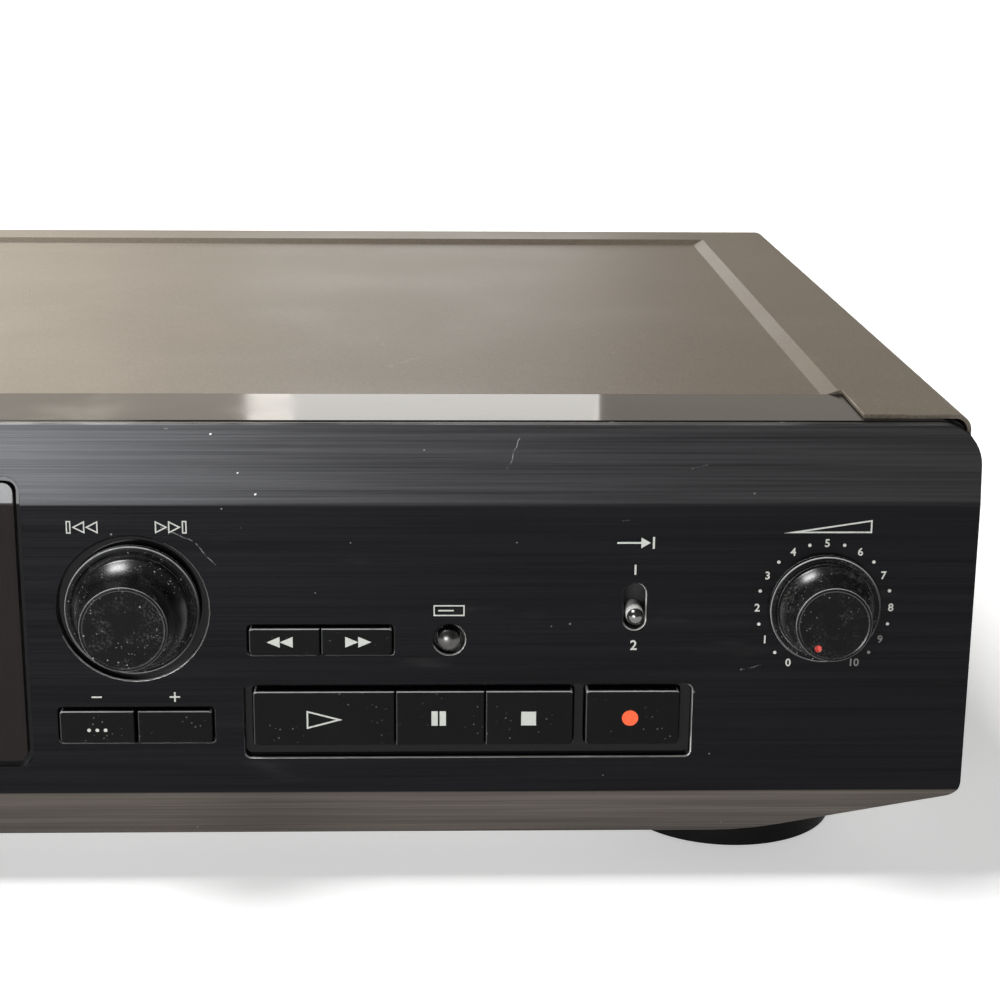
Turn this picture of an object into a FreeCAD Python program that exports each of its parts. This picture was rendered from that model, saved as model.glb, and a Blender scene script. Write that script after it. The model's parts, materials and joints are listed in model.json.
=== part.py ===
# A full-width minidisc deck, as an assembly of separate pieces in millimetres.
# +X is right, +Y is back and +Z is up. The origin is on the floor under the
# middle of the deck, with its knobs and its rear jacks counted in.
import FreeCAD, Part
import math
import os

Vector = FreeCAD.Vector

# ---------------------------------------------------------------- whole deck
WIDTH = 430.0                # face plate, end to end
HEIGHT = 95.0                # floor to the top of the cover
BODY_DEPTH = 262.8           # face to the back of the cover
JACK_REACH = 8.2             # line jacks behind the cover's back
KNOB_REACH = 12.4            # jog knob in front of the face
UNDERSIDE = 17.0             # floor to the bottom of the chassis

Y_FACE = KNOB_REACH - (KNOB_REACH + BODY_DEPTH + JACK_REACH) / 2
Y_BACK = Y_FACE + BODY_DEPTH
HALF = WIDTH / 2

# ---------------------------------------------------------------- sheet metal
COVER_SHEET = 0.8
PAN_SHEET = 1.0
COVER_INSET = 1.4            # the cover's sides inside the face plate's ends
FIT_GAP = 0.2                # between pieces that only lie side by side
COVER_EDGE_RADIUS = 3.0
RECESS_DEPTH = 1.2           # sunk centre of the cover
RECESS_INSET = 26.3          # sunk centre, inside the face plate's ends
RECESS_HALF = HALF - RECESS_INSET
RECESS_SLOPE = 3.3           # width of the sloped step round the sunk centre
REAR_BAND = 17.0             # raised band along the back of the cover
BACK_FLANGE = 11.0           # turned down over the rear panel
PAN_FLANGE = 22.0            # turned-up sides of the chassis pan
PAN_FRONT = 12.2             # front of the chassis pan, behind the face
VENT_WIDTH = 3.0
VENT_LENGTH = 30.0
VENT_PITCH = 8.0
VENT_COUNT = 9
VENT_X = 30.0                # middle of the row of vents
VENT_Y = 30.0

# ---------------------------------------------------------------- face and front moulding
PLATE = 1.5                  # face plate's sheet
FACE_DROP = 1.0              # the face's top under the cover's
FACE_TOP = HEIGHT - FACE_DROP
FACE_BEND = 78.4             # above it the face leans back
FACE_LEAN = 1.9
LIP_TOP = 19.75              # below it the lip slants under
LIP_BOTTOM = 9.0
LIP_SETBACK = 5.1
LIP_END_RUN = 42.0           # at each end the lip's lower edge rises over this run
LIP_FLAT_HALF = HALF - LIP_END_RUN
LIP_END = 18.7
LIP_CURVE = 60.0
EDGE_BREAK = 0.25            # chamfer round the openings in the face plate
TOP_CORNER = 8.0
BOTTOM_CORNER = 3.5
BEZEL_WALL = 2.0
BEZEL_TOP = FACE_TOP + FIT_GAP
RIM_BACK = 5.0               # full-width rim of the moulding, behind the face
STRIP_BACK = 27.0            # moulding's top strip and shelves, behind the face
STRIP_INSET = 22.5           # width of the cover's side bands, which lie over the moulding
STRIP_END = HALF - STRIP_INSET
LIP_BACK = 12.0

# ---------------------------------------------------------------- window and disc slot
WINDOW_LEFT = -114.7
WINDOW_RIGHT = 31.3
WINDOW_BOTTOM = 26.3
WINDOW_TOP = 83.0
WINDOW_GAP = 0.9             # window to its opening in the face plate
WINDOW_RADIUS = 2.0
WINDOW_SUNK = 0.2            # its front behind the face
DRIVE_X = (WINDOW_LEFT + WINDOW_RIGHT) / 2
SLOT_Z = 69.5
SLOT_HEIGHT = 7.0
SLOT_HALF = 37.5
SLOT_RADIUS = 1.0
VIEW_HALF = 50.0             # opening in the moulding in front of the display tube
VIEW_BOTTOM = 31.0
VIEW_TOP = 54.0
FLAP_SHEET = 1.2
FLAP_HALF = 38.6
FLAP_DROP = 8.9              # hinge line to the flap's lower edge
FLAP_BARREL = 1.4            # radius
HINGE_Z = 74.6
HINGE_PIN = 1.0              # radii
HINGE_BOSS = 2.1
PIN_FIT = 0.05               # radial clearance of a running fit
LUG_WIDTH = 2.5
TUBE_HALF = 48.0
TUBE_BOTTOM = 31.5
TUBE_HEIGHT = 21.0
TUBE_DEPTH = 6.5
TUBE_FRONT = 5.0

# ---------------------------------------------------------------- keys
KEY_GAP = 0.3                # key to key, and key to its hole
KEY_PROUD = 1.0
KEY_ROUND = 0.35
KEY_CORNER = 0.8             # at the ends of a row of keys
KEY_BESIDE = 1.0             # keys of a row are less than this apart
KEY_CATCH = 0.8              # catches above and below, behind the moulding
KEY_CATCH_SHEET = 1.0
KEY_TRAVEL = 0.5
KEY_STEM = 1.8               # radius
TRAY_LEFT = 73.5
TRAY_RIGHT = 160.75
TRAY_BOTTOM = 27.2
TRAY_TOP = 42.1
TRAY_RADIUS = 1.2
TRAY_KEY_LEFT = 75.3
TRAY_KEY_BOTTOM = 30.0
TRAY_KEY_HEIGHT = 11.2
PLAY_WIDTH = 27.4
PAUSE_WIDTH = 17.2
STOP_WIDTH = 17.0
RECORD_SPACE = 2.5
RECORD_WIDTH = 18.3
SEEK_LEFT = 74.8
SEEK_BOTTOM = 48.8
SEEK_HEIGHT = 5.3
SEEK_WIDTH = 13.6
EDIT_LEFT = 37.8
EDIT_BOTTOM = 30.8
EDIT_HEIGHT = 6.5
EDIT_WIDTH = 14.4
EDIT_SPACE = 0.7
DISPLAY_KEY_X = 113.3
DISPLAY_KEY_Z = 51.5
DISPLAY_KEY_RADIUS = 2.15
DISPLAY_KEY_HOLE = 3.05
DISPLAY_KEY_PROUD = 1.5
DISPLAY_KEY_DOME = 0.95      # height of its rounded end
EJECT_LEFT = -143.0
EJECT_BOTTOM = 66.0
EJECT_WIDTH = 16.0
EJECT_HEIGHT = 6.5

# ---------------------------------------------------------------- board and switches behind the face
BOARD_FRONT = 18.5           # behind the face
BOARD_SHEET = 1.6
BOARD_INSET = 9.0            # inside the face plate's ends
BOARD_HALF = HALF - BOARD_INSET
BOARD_BOTTOM = 21.5
BOARD_LOW_TOP = 48.0         # under the disc drive
BOARD_HIGH_TOP = 74.0
BOARD_STEP_RIGHT = 34.0
BOARD_STEP_LEFT = -126.0
SWITCH_SIDE = 6.0
SWITCH_DEPTH = 3.5
PLUNGER_RADIUS = 1.5
PLUNGER_OUT = 1.0
PLUNGER_IN = 1.2

# ---------------------------------------------------------------- knobs
JOG_X = 52.7
JOG_Z = 57.8
JOG_WELL = 14.5              # radii
JOG_FLANGE = 12.85
JOG_BODY = 10.95
JOG_SHOULDER = 2.6           # its body's front edge, in front of the face
JOG_TIP = 8.3
JOG_FLANGE_FRONT = 1.2       # in front of the face
JOG_TRAVEL = 1.0
LEVEL_INSET = 29.1           # inside the face plate's right end
LEVEL_X = HALF - LEVEL_INSET
LEVEL_Z = 57.9
LEVEL_REACH = 10.8
LEVEL_FLANGE = 10.7
LEVEL_BODY = 9.25
LEVEL_SHOULDER = 2.4
LEVEL_TIP = 7.3
LEVEL_FLANGE_FRONT = 1.8
LEVEL_DOT_RADIUS = 0.7
LEVEL_DOT_REACH = 5.5        # dot's distance from the axis
LEVEL_DOT_DEPTH = 0.2
LEVEL_DOT_ANGLE = -150.0     # degrees from upright, the knob at its zero stop
SHAFT_RADIUS = 3.0
SHAFT_HOLE = 4.5
SHAFT_FLAT = 0.6
KNOB_FIT = 0.02              # shaft pressed in the knob
JOG_FLANGE_GAP = 0.3         # left behind the pushed jog knob, in its well
LEVEL_FLANGE_GAP = 0.3       # between the level knob and the face
KNOB_RIM = 0.2               # radii of the end's edge and of the body's
KNOB_SHOULDER = 1.0
KNOB_NECK = 3.6              # the flare starts this far behind the end
KNOB_BORE_DEPTH = 7.0
ENCODER_SIDE = 13.0
ENCODER_DEPTH = 6.5
BUSHING_RADIUS = 4.2
BUSHING_LENGTH = 5.0
ROTOR_RADIUS = 4.4
ROTOR_LENGTH = 3.0
POT_RADIUS = 8.5
POT_DEPTH = 8.0
POT_FLOOR = 1.5
ENCODER_FRONT_WALL = 1.0

# ---------------------------------------------------------------- levers, power button, light
LEVER_TO_LEVEL = 36.8        # input lever to the level knob's axis
LEVER_SLOT_X = LEVEL_X - LEVER_TO_LEVEL
LEVER_SLOT_BOTTOM = 53.5
LEVER_SLOT_TOP = 62.8
LEVER_SLOT_WIDTH = 4.15
LEVER_RADIUS = 1.75
LEVER_OUT = 3.2
INPUT_LEVER_Z = 56.8
INPUT_TRAVEL = 4.0
TIMER_INSET = 29.0           # the next ones count from the face plate's left end
TIMER_X = TIMER_INSET - HALF
TIMER_Z = 40.0
TIMER_STEP = 4.0             # either way from the middle
LEVER_PLATE = 1.0
LEVER_PLATE_WIDTH = 6.0
LEVER_PLATE_LENGTH = 19.0
SLIDE_SWITCH_DEPTH = 6.0
SLIDE_SWITCH_WIDTH = 8.0
SLIDE_SWITCH_LENGTH = 20.0
POWER_INSET = 18.0
POWER_LEFT = POWER_INSET - HALF
POWER_BOTTOM = 62.0
POWER_WIDTH = 22.0
POWER_HEIGHT = 9.0
POWER_PROUD = 3.4
POWER_TRAVEL = 2.5
POWER_ROD_SIDE = 4.0
POWER_SWITCH_DEPTH = 9.0
POWER_SWITCH_SIDE = 12.0
LIGHT_INSET = 47.0
LIGHT_X = LIGHT_INSET - HALF
LIGHT_RADIUS = 1.5
LIGHT_PROUD = 0.4

# ---------------------------------------------------------------- feet and screws
FOOT_INSET = 41.6            # foot's axis, inside the face plate's end
FOOT_X = HALF - FOOT_INSET
FRONT_FOOT_DEPTH = 38.5      # behind the face
BACK_FOOT_INSET = 34.0       # in front of the cover's back
FOOT_RADIUS = 22.8
FOOT_TOP_RADIUS = 24.3
PAD_SHEET = 1.0
PAD_SUNK = 0.4
PAD_RADIUS = 21.5
PAD_CORE = 8.5
FOOT_CORE = 7.0              # hollow for the screw's head
FOOT_SEAT = 3.0              # left over the head
SCREW_RADIUS = 1.5
SCREW_HOLE = 1.7
SCREW_HEAD = 2.9
SCREW_HEAD_SHEET = 1.4
SCREW_SOCKET = 1.05          # radius of the driver's recess
SCREW_REACH = 6.0
SIDE_SCREW_Z = 30.0
SIDE_SCREW_YS = (-70.0, 85.0)
BACK_SCREW_INSET = 65.0
BACK_SCREW_XS = (BACK_SCREW_INSET - HALF, 0.0, HALF - BACK_SCREW_INSET)

# ---------------------------------------------------------------- rear panel and sockets
JACK_INSET = 65.0            # middle of the four line jacks, inside the face plate's end
JACK_X = HALF - JACK_INSET
JACK_SPACING_X = 18.0
JACK_SPACING_Z = 20.0
JACK_RADIUS = 4.15
JACK_BORE = 1.7
JACK_COLLAR = 5.6
JACK_BLOCK_MARGIN = 8.0
JACK_BLOCK_DEPTH = 12.0
JACK_COLLAR_OUT = 1.4
OPTICAL_X = 95.0
OPTICAL_SPACING = 18.0
OPTICAL_OUT = 9.8            # side of each port
OPTICAL_IN = 7.4             # side of its square socket
OPTICAL_DEPTH = 9.0
OPTICAL_PROUD = 1.5
OPTICAL_LIFT = 3.0
INLET_INSET = 45.0
INLET_X = INLET_INSET - HALF
INLET_Z = 40.0
INLET_WIDTH = 17.2           # socket's own hollow
INLET_HEIGHT = 8.6
INLET_DEPTH = 12.0
INLET_WALL = 1.6
INLET_FLANGE = 3.0
INLET_PROUD = 1.2
INLET_PIN = 1.2
INLET_PIN_X = 4.3

# ---------------------------------------------------------------- boards, transformer
STANDOFF_HEIGHT = 8.0
STANDOFF_RADIUS = 3.5
MAIN_LEFT = 30.0
MAIN_SIDE = 11.0             # inside the face plate's end
MAIN_RIGHT = HALF - MAIN_SIDE
MAIN_FRONT = 26.0            # behind the face
MAIN_BACK = 3.0              # in front of the cover's back
MAIN_INSET = 7.0             # standoffs from the board's edges
BACK_INSET = 26.0            # rear standoffs, clear of the sockets
CAPACITORS = ((60.0, 40.0, 8.0, 22.0), (60.0, 62.0, 8.0, 22.0), (84.0, 40.0, 5.0, 14.0),
              (84.0, 56.0, 5.0, 14.0), (150.0, -40.0, 4.0, 11.0), (162.0, -40.0, 4.0, 11.0))
CHIPS = ((80.0, -50.0, 24.0, 24.0, 2.4), (118.0, -20.0, 18.0, 18.0, 2.4), (150.0, 30.0, 14.0, 9.0, 2.4),
         (175.0, 60.0, 12.0, 8.0, 3.0), (100.0, -90.0, 30.0, 5.0, 8.0))
HEAT_SINK = (40.0, 80.0, 40.0, 14.0, 30.0)
SINK_SHEET = 1.2
SINK_PITCH = 4.0
TRAFO_INSET = 50.0
TRAFO_X = TRAFO_INSET - HALF
TRAFO_Y = 55.0
TRAFO_WIDTH = 66.0
TRAFO_DEPTH = 56.0
TRAFO_HEIGHT = 54.0
TRAFO_CORE_DEPTH = 28.0
TRAFO_FOOT = 9.0
CABLE_WIDTH = 18.0
CABLE_SHEET = 0.4
CABLE_START = 30.0           # from the disc's axis, under the drive
CABLE_END = 6.0              # inside the main board's left edge
CABLE_BEND = 6.0
CABLE_SOCKET = 4.0

# ---------------------------------------------------------------- disc drive
DISC_CASE_HALF = 36.0        # the cartridge is 72 wide, 68 deep and 5 thick
DISC_CASE_DEPTH = 68.0
DISC_CASE_HEIGHT = 5.0
HOLDER_SLACK = 0.5           # each side of the cartridge
HOLDER_HEADROOM = 0.4
HOLDER_SHEET = 0.8
HOLDER_LIP = 7.0             # turned in under the cartridge
HOLDER_FRONT = 15.0          # behind the face
HOLDER_RELIEF = 3.2          # behind the cartridge, to the holder's stop
HOLDER_DROP = 4.0
HOLDER_WINDOW_IN = 3.0       # head window, from the disc's axis
HOLDER_WINDOW_OUT = 32.0
HOLDER_WINDOW_HALF = 9.0
HOLDER_STOP_HALF = 10.0
SLIDER_TRAVEL = 16.0
SLIDER_SHEET = 1.5
SLIDER_GAP = 0.3
SLIDER_LOW = 57.0
SLIDER_TOP = 73.5
SLIDER_RACK = 2.5            # height of the toothed flange
GUIDE_PIN = 1.0              # radius of the holder's pins
GUIDE_FIT = 0.12
FRONT_PIN = 24.0             # left pins, behind the holder's front
REAR_PIN = 56.0
EAR_WIDTH = 7.0              # right-hand guides, just past the sled's path
EAR_FRONT_PIN = 11.0
EAR_REAR_PIN = 67.0
FRAME_SHEET = 1.2
FRAME_FLOOR = 50.0
FRAME_TOP = 77.0
FRAME_FRONT = 20.5           # behind the face
FRAME_DEPTH = 82.0
FRAME_LEFT = 80.0            # from the disc's axis
FRAME_CLEAR = 1.0            # holder to the frame's left wall
FRAME_LEG = 12.0
FRAME_FOOT = 10.0
AXIS_DEPTH = 38.0            # disc's axis, behind the holder's front
MODULE = 0.8
GEAR_TEETH = 20
PINION_TEETH = 10
ADDENDUM = 0.85              # in modules
DEDENDUM = 1.2
TIP_SHARE = 0.22             # tooth width as a share of the pitch
PITCH_SHARE = 0.40
ROOT_SHARE = 0.54
GEAR_WIDTH = 2.4
GEAR_POST = 1.5
RACK_BODY = 1.6              # rack behind its teeth
LOADER_Y = 26.0              # loading gear's axis, in front of the frame's back
MOTOR_RADIUS = 8.0
MOTOR_LENGTH = 16.0
MOTOR_SHAFT = 1.0
SPINDLE_RADIUS = 11.0
SPINDLE_TOP = 58.5
TURNTABLE_RADIUS = 8.5
TURNTABLE_SHEET = 1.6
TURNTABLE_LIFT = 1.2         # above the spindle motor
TURNTABLE_HUB = 3.4
TURNTABLE_HUB_RISE = 2.4
TURNTABLE_CHAMFER = 0.9
SLED_IN = 12.5               # from the disc's axis
SLED_OUT = 41.0
SLED_HALF = 16.0
SLED_LOW = 56.0
SLED_HEIGHT = 5.5
SLED_TRAVEL = 15.0
SLED_ROOM = 0.8              # left beside the sled at the end of its run
LENS_GAP = 1.0               # round the lens, in the holder's lip
LENS_X = 17.0                # from the disc's axis, the sled fully in
LENS_RADIUS = 2.6
LENS_RISE = 1.2
ROD_RADIUS = 1.5
ROD_SPREAD = 11.0
ROD_START = 9.0
ROD_POST = 2.0
ROD_POST_HALF = 3.0
SLED_GEAR_X = 26.0           # from the disc's axis
RACK_MARGIN = 7.0            # rack past the gear, at each end of the run
RACK_LOW = 57.2
GEARMOTOR_RADIUS = 7.5
ARM_BRACKET = 4.0
ARM_BRACKET_TOP = 77.0
ARM_EAR = 2.0
ARM_PIVOT_Z = 79.5
ARM_HALF = 8.0
ARM_BARREL = 2.0
ARM_PIN = 1.0
ARM_BEAM_HALF = 3.0
ARM_SHEET = 1.0
ARM_TIP = 15.5               # from the disc's axis
HEAD_SIDE = 4.0
HEAD_BOTTOM = 75.0


PAST = 1.0                   # cutters run this far past what they cut
NEAR = 1e-4                  # two places are one


# ---------------------------------------------------------------- shapes
def block(x0, x1, y0, y1, z0, z1):
    """A plain box between two corners."""
    return Part.makeBox(x1 - x0, y1 - y0, z1 - z0, Vector(x0, y0, z0))


def rod(radius, start, end):
    """A round bar from one point to another."""
    run = Vector(*end) - Vector(*start)
    return Part.makeCylinder(radius, run.Length, Vector(*start), run)


def bar_y(radius, x, z, y0, y1):
    """A round bar along Y."""
    return rod(radius, (x, y0, z), (x, y1, z))


def post(radius, x, y, z0, z1):
    """A round bar along Z."""
    return rod(radius, (x, y, z0), (x, y, z1))


def fuse(*shapes):
    """One solid of several that touch or overlap."""
    return shapes[0].fuse(list(shapes[1:])).removeSplitter()


def cut(body, *tools):
    """A body less some tools."""
    return body.cut(list(tools)).removeSplitter()


def group(*solids):
    """Separate solids that share one node."""
    return Part.makeCompound(list(solids))


def outline(place, start, *steps):
    """A closed face: each step is a point, or a (middle, end) pair of points for an arc."""
    edges = []
    here = start
    for step in list(steps) + [start]:
        if isinstance(step[0], tuple):
            middle, there = step
            edges.append(Part.Arc(place(*here), place(*middle), place(*there)).toShape())
        else:
            there = step
            edges.append(Part.LineSegment(place(*here), place(*there)).toShape())
        here = there
    return Part.Face(Part.Wire(edges))


def along_x(points, x0, x1):
    """A prism along X whose section is given as (y, z) points."""
    face = outline(lambda y, z: Vector(x0, y, z), *points)
    return face.extrude(Vector(x1 - x0, 0, 0))


def along_y(points, y0, y1):
    """A prism along Y whose section is given as (x, z) points."""
    face = outline(lambda x, z: Vector(x, y0, z), *points)
    return face.extrude(Vector(0, y1 - y0, 0))


def along_z(points, z0, z1):
    """A prism along Z whose section is given as (x, y) points."""
    face = outline(lambda x, y: Vector(x, y, z0), *points)
    return face.extrude(Vector(0, 0, z1 - z0))


def turned(x, z, *profile):
    """A round piece on an axis along Y: its half section is given as (radius, y) points."""
    face = outline(lambda r, y: Vector(x + r, y, z), *profile)
    return face.revolve(Vector(x, 0, z), Vector(0, 1, 0), 360)


def turned_upright(x, y, *profile):
    """A round piece on an axis along Z: its half section is given as (radius, z) points."""
    face = outline(lambda r, z: Vector(x + r, y, z), *profile)
    return face.revolve(Vector(x, y, 0), Vector(0, 0, 1), 360)


def edges_along_y(body):
    """The straight edges of a body that run along Y."""
    found = []
    for edge in body.Edges:
        ends = [vertex.Point for vertex in edge.Vertexes]
        if len(ends) == 2 and math.hypot(ends[0].x - ends[1].x, ends[0].z - ends[1].z) < 1e-6:
            found.append(edge)
    return found


def rounded(x0, x1, y0, y1, z0, z1, radius):
    """A box whose four edges along Y are rounded."""
    body = block(x0, x1, y0, y1, z0, z1)
    return body.makeFillet(radius, edges_along_y(body))


def soft_front(body, radius):
    """A body with the edges of its front face rounded."""
    front = body.BoundBox.YMin
    edges = [edge for edge in body.Edges if edge.BoundBox.YMax < front + 1e-6]
    return body.makeFillet(radius, edges)


def oblong(x0, x1, z0, z1, y0, y1):
    """A slot-shaped bar along Y with round ends."""
    radius = min(x1 - x0, z1 - z0) / 2
    ends = [bar_y(radius, x, z, y0, y1) for x, z in ((x0 + radius, z0 + radius), (x1 - radius, z1 - radius))]
    if x1 - x0 > z1 - z0:
        body = block(x0 + radius, x1 - radius, y0, y1, z0, z1)
    else:
        body = block(x0, x1, y0, y1, z0 + radius, z1 - radius)
    return fuse(body, *ends)


def dome(radius, tip, height):
    """The arc of a round end, from the axis at its tip out to its rim, in a half section."""
    sphere = (radius ** 2 + height ** 2) / (2 * height)
    half = math.acos(1 - height / sphere) / 2
    middle = (sphere * math.sin(half), tip + sphere * (1 - math.cos(half)))
    return (middle, (radius, tip + height))


def slanted_slot(y0, z0, y1, z1, radius, x0, x1):
    """The path of a pin of some radius, cut through along X."""
    ends = [rod(radius, (x0, y, z), (x1, y, z)) for y, z in ((y0, z0), (y1, z1))]
    length = math.hypot(y1 - y0, z1 - z0)
    side_y = radius * (z1 - z0) / length
    side_z = radius * (y1 - y0) / length
    corners = [(y0 - side_y, z0 + side_z), (y1 - side_y, z1 + side_z)]
    corners += [(y1 + side_y, z1 - side_z), (y0 + side_y, z0 - side_z)]
    return fuse(along_x(corners, x0, x1), *ends)


def set_back(chain, depth):
    """A chain of (y, z) points moved back square to each run; its two ends keep their height."""
    runs = []
    for (y0, z0), (y1, z1) in zip(chain, chain[1:]):
        slope = (y1 - y0) / (z1 - z0)
        runs.append((slope, y0 - slope * z0 + depth * math.hypot(1, slope)))
    heights = [chain[0][1]]
    for (slope, foot), (next_slope, next_foot) in zip(runs, runs[1:]):
        heights.append((next_foot - foot) / (slope - next_slope))
    heights.append(chain[-1][1])
    moved = []
    for place, height in enumerate(heights):
        slope, foot = runs[min(place, len(runs) - 1)]
        moved.append((foot + slope * height, height))
    return moved


# ---------------------------------------------------------------- face, moulding and window
WALL_BACK = Y_FACE + PLATE + BEZEL_WALL
FACE_NEAR = Y_FACE - PAST    # cutters start in front of the face
FACE_FAR = Y_FACE + LIP_BACK
COVER_HALF = HALF - COVER_INSET
TUB_HALF = COVER_HALF - COVER_SHEET - FIT_GAP
TUB_TOP = HEIGHT - COVER_SHEET - FIT_GAP
TUB_FLOOR = UNDERSIDE + PAN_SHEET + FIT_GAP
STRIP_END_Y = Y_FACE + STRIP_BACK


def face_chain(top):
    """The face's section from its lip up to a height, as (y, z) points."""
    lean = FACE_LEAN * (top - FACE_BEND) / (FACE_TOP - FACE_BEND)
    return [(Y_FACE + LIP_SETBACK, LIP_BOTTOM), (Y_FACE, LIP_TOP), (Y_FACE, FACE_BEND), (Y_FACE + lean, top)]


def face_layer(top, front, back):
    """A layer that follows the face, between two depths behind it."""
    section = set_back(face_chain(top), front) + set_back(face_chain(top), back)[::-1]
    return along_x(section, -HALF, HALF)


def face_outline(top):
    """The front's outline along Y: round top corners, and a lip that rises towards its ends."""
    points = [(-HALF, LIP_END), (-LIP_FLAT_HALF, LIP_BOTTOM), (LIP_FLAT_HALF, LIP_BOTTOM)]
    points += [(HALF, LIP_END), (HALF, top), (-HALF, top)]
    body = along_y(points, FACE_NEAR, FACE_FAR)
    for height, radius in ((top, TOP_CORNER), (LIP_END, BOTTOM_CORNER), (LIP_BOTTOM, LIP_CURVE)):
        corners = [edge for edge in edges_along_y(body) if abs(edge.Vertexes[0].Z - height) < 1e-6]
        body = body.makeFillet(radius, corners)
    return body


def key_spans():
    """Each key's left, right, bottom and top."""
    spans = {}
    left = TRAY_KEY_LEFT
    transport = (("play_key", PLAY_WIDTH, KEY_GAP), ("pause_key", PAUSE_WIDTH, KEY_GAP))
    transport += (("stop_key", STOP_WIDTH, RECORD_SPACE), ("record_key", RECORD_WIDTH, 0.0))
    for name, width, space in transport:
        spans[name] = (left, left + width, TRAY_KEY_BOTTOM, TRAY_KEY_BOTTOM + TRAY_KEY_HEIGHT)
        left += width + space
    pairs = (("rewind_key", "forward_key", SEEK_LEFT, SEEK_WIDTH, KEY_GAP, SEEK_BOTTOM, SEEK_HEIGHT),)
    pairs += (("edit_key", "yes_key", EDIT_LEFT, EDIT_WIDTH, EDIT_SPACE, EDIT_BOTTOM, EDIT_HEIGHT),)
    for first, second, left, width, space, bottom, height in pairs:
        spans[first] = (left, left + width, bottom, bottom + height)
        spans[second] = (left + width + space, left + 2 * width + space, bottom, bottom + height)
    spans["eject_key"] = (EJECT_LEFT, EJECT_LEFT + EJECT_WIDTH, EJECT_BOTTOM, EJECT_BOTTOM + EJECT_HEIGHT)
    return spans


def hole_round(first, last):
    """The hole in the front that a row of keys shares."""
    spans = key_spans()
    x0, _, z0, z1 = spans[first]
    x1 = spans[last][1]
    return rounded(x0 - KEY_GAP, x1 + KEY_GAP, FACE_NEAR, FACE_FAR, z0 - KEY_GAP, z1 + KEY_GAP, KEY_GAP * 2)


def shared_holes():
    """What passes through the face plate and the moulding alike."""
    holes = [hole_round("rewind_key", "forward_key"), hole_round("edit_key", "yes_key")]
    holes.append(hole_round("eject_key", "eject_key"))
    power_right = POWER_LEFT + POWER_WIDTH
    power_top = POWER_BOTTOM + POWER_HEIGHT
    holes.append(rounded(POWER_LEFT - KEY_GAP, power_right + KEY_GAP, FACE_NEAR, FACE_FAR,
                         POWER_BOTTOM - KEY_GAP, power_top + KEY_GAP, KEY_GAP * 2))
    half = LEVER_SLOT_WIDTH / 2
    holes.append(oblong(LEVER_SLOT_X - half, LEVER_SLOT_X + half, LEVER_SLOT_BOTTOM, LEVER_SLOT_TOP,
                        FACE_NEAR, FACE_FAR))
    reach = TIMER_STEP + half
    holes.append(oblong(TIMER_X - reach, TIMER_X + reach, TIMER_Z - half, TIMER_Z + half,
                        FACE_NEAR, FACE_FAR))
    holes.append(bar_y(LIGHT_RADIUS + PIN_FIT, LIGHT_X, POWER_BOTTOM + POWER_HEIGHT / 2, FACE_NEAR, FACE_FAR))
    holes.append(bar_y(SHAFT_HOLE, LEVEL_X, LEVEL_Z, FACE_NEAR, FACE_FAR))
    return holes


def slot_hole():
    """The disc slot, through the window and the moulding."""
    half = SLOT_HEIGHT / 2
    return rounded(DRIVE_X - SLOT_HALF, DRIVE_X + SLOT_HALF, FACE_NEAR, FACE_FAR,
                   SLOT_Z - half, SLOT_Z + half, SLOT_RADIUS)


def window_block(margin):
    """The window's outline along Y, larger by a margin."""
    return rounded(WINDOW_LEFT - margin, WINDOW_RIGHT + margin, FACE_NEAR, FACE_FAR,
                   WINDOW_BOTTOM - margin, WINDOW_TOP + margin, WINDOW_RADIUS + margin)


def broken_rims(plate, *holes):
    """The plate with a chamfer round each hole, where the front is upright."""
    spans = [hole.BoundBox for hole in holes]
    rims = []
    for edge in plate.Edges:
        box = edge.BoundBox
        upright = max(abs(box.YMin - Y_FACE), abs(box.YMax - Y_FACE)) < NEAR
        if upright and any(span.isInside(box.Center) for span in spans):
            rims.append(edge)
    return plate.makeChamfer(EDGE_BREAK, rims)


def face_plate():
    """The bent, brushed metal face."""
    sheet = face_layer(FACE_TOP, 0.0, PLATE).common(face_outline(FACE_TOP))
    tray = rounded(TRAY_LEFT, TRAY_RIGHT, FACE_NEAR, FACE_FAR, TRAY_BOTTOM, TRAY_TOP, TRAY_RADIUS)
    well = bar_y(JOG_WELL, JOG_X, JOG_Z, FACE_NEAR, FACE_FAR)
    display = bar_y(DISPLAY_KEY_HOLE, DISPLAY_KEY_X, DISPLAY_KEY_Z, FACE_NEAR, FACE_FAR)
    holes = [tray, well, display, *shared_holes()]
    return broken_rims(cut(sheet, window_block(WINDOW_GAP), *holes), *holes)


def front_shell():
    """The moulding's wall, rim and lip, which fill the front's whole outline behind the face plate."""
    wall = face_layer(BEZEL_TOP, PLATE, PLATE + BEZEL_WALL)
    front = set_back(face_chain(BEZEL_TOP), PLATE)
    rim = along_x(front[1:] + [(Y_FACE + RIM_BACK, BEZEL_TOP), (Y_FACE + RIM_BACK, front[1][1])], -HALF, HALF)
    low_y, low_z = front[0]
    heel = [(FACE_FAR, front[1][1]), (FACE_FAR, UNDERSIDE), (low_y + BEZEL_WALL, low_z)]
    lip = along_x(front[:2] + heel, -HALF, HALF)
    inside_cover = block(-TUB_HALF, TUB_HALF, Y_FACE + RIM_BACK, FACE_FAR, LIP_BOTTOM, BEZEL_TOP)
    lip = lip.common(block(-HALF, HALF, Y_FACE, Y_FACE + RIM_BACK, LIP_BOTTOM, BEZEL_TOP).fuse(inside_cover))
    return fuse(wall, rim, lip).common(face_outline(BEZEL_TOP))


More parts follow.
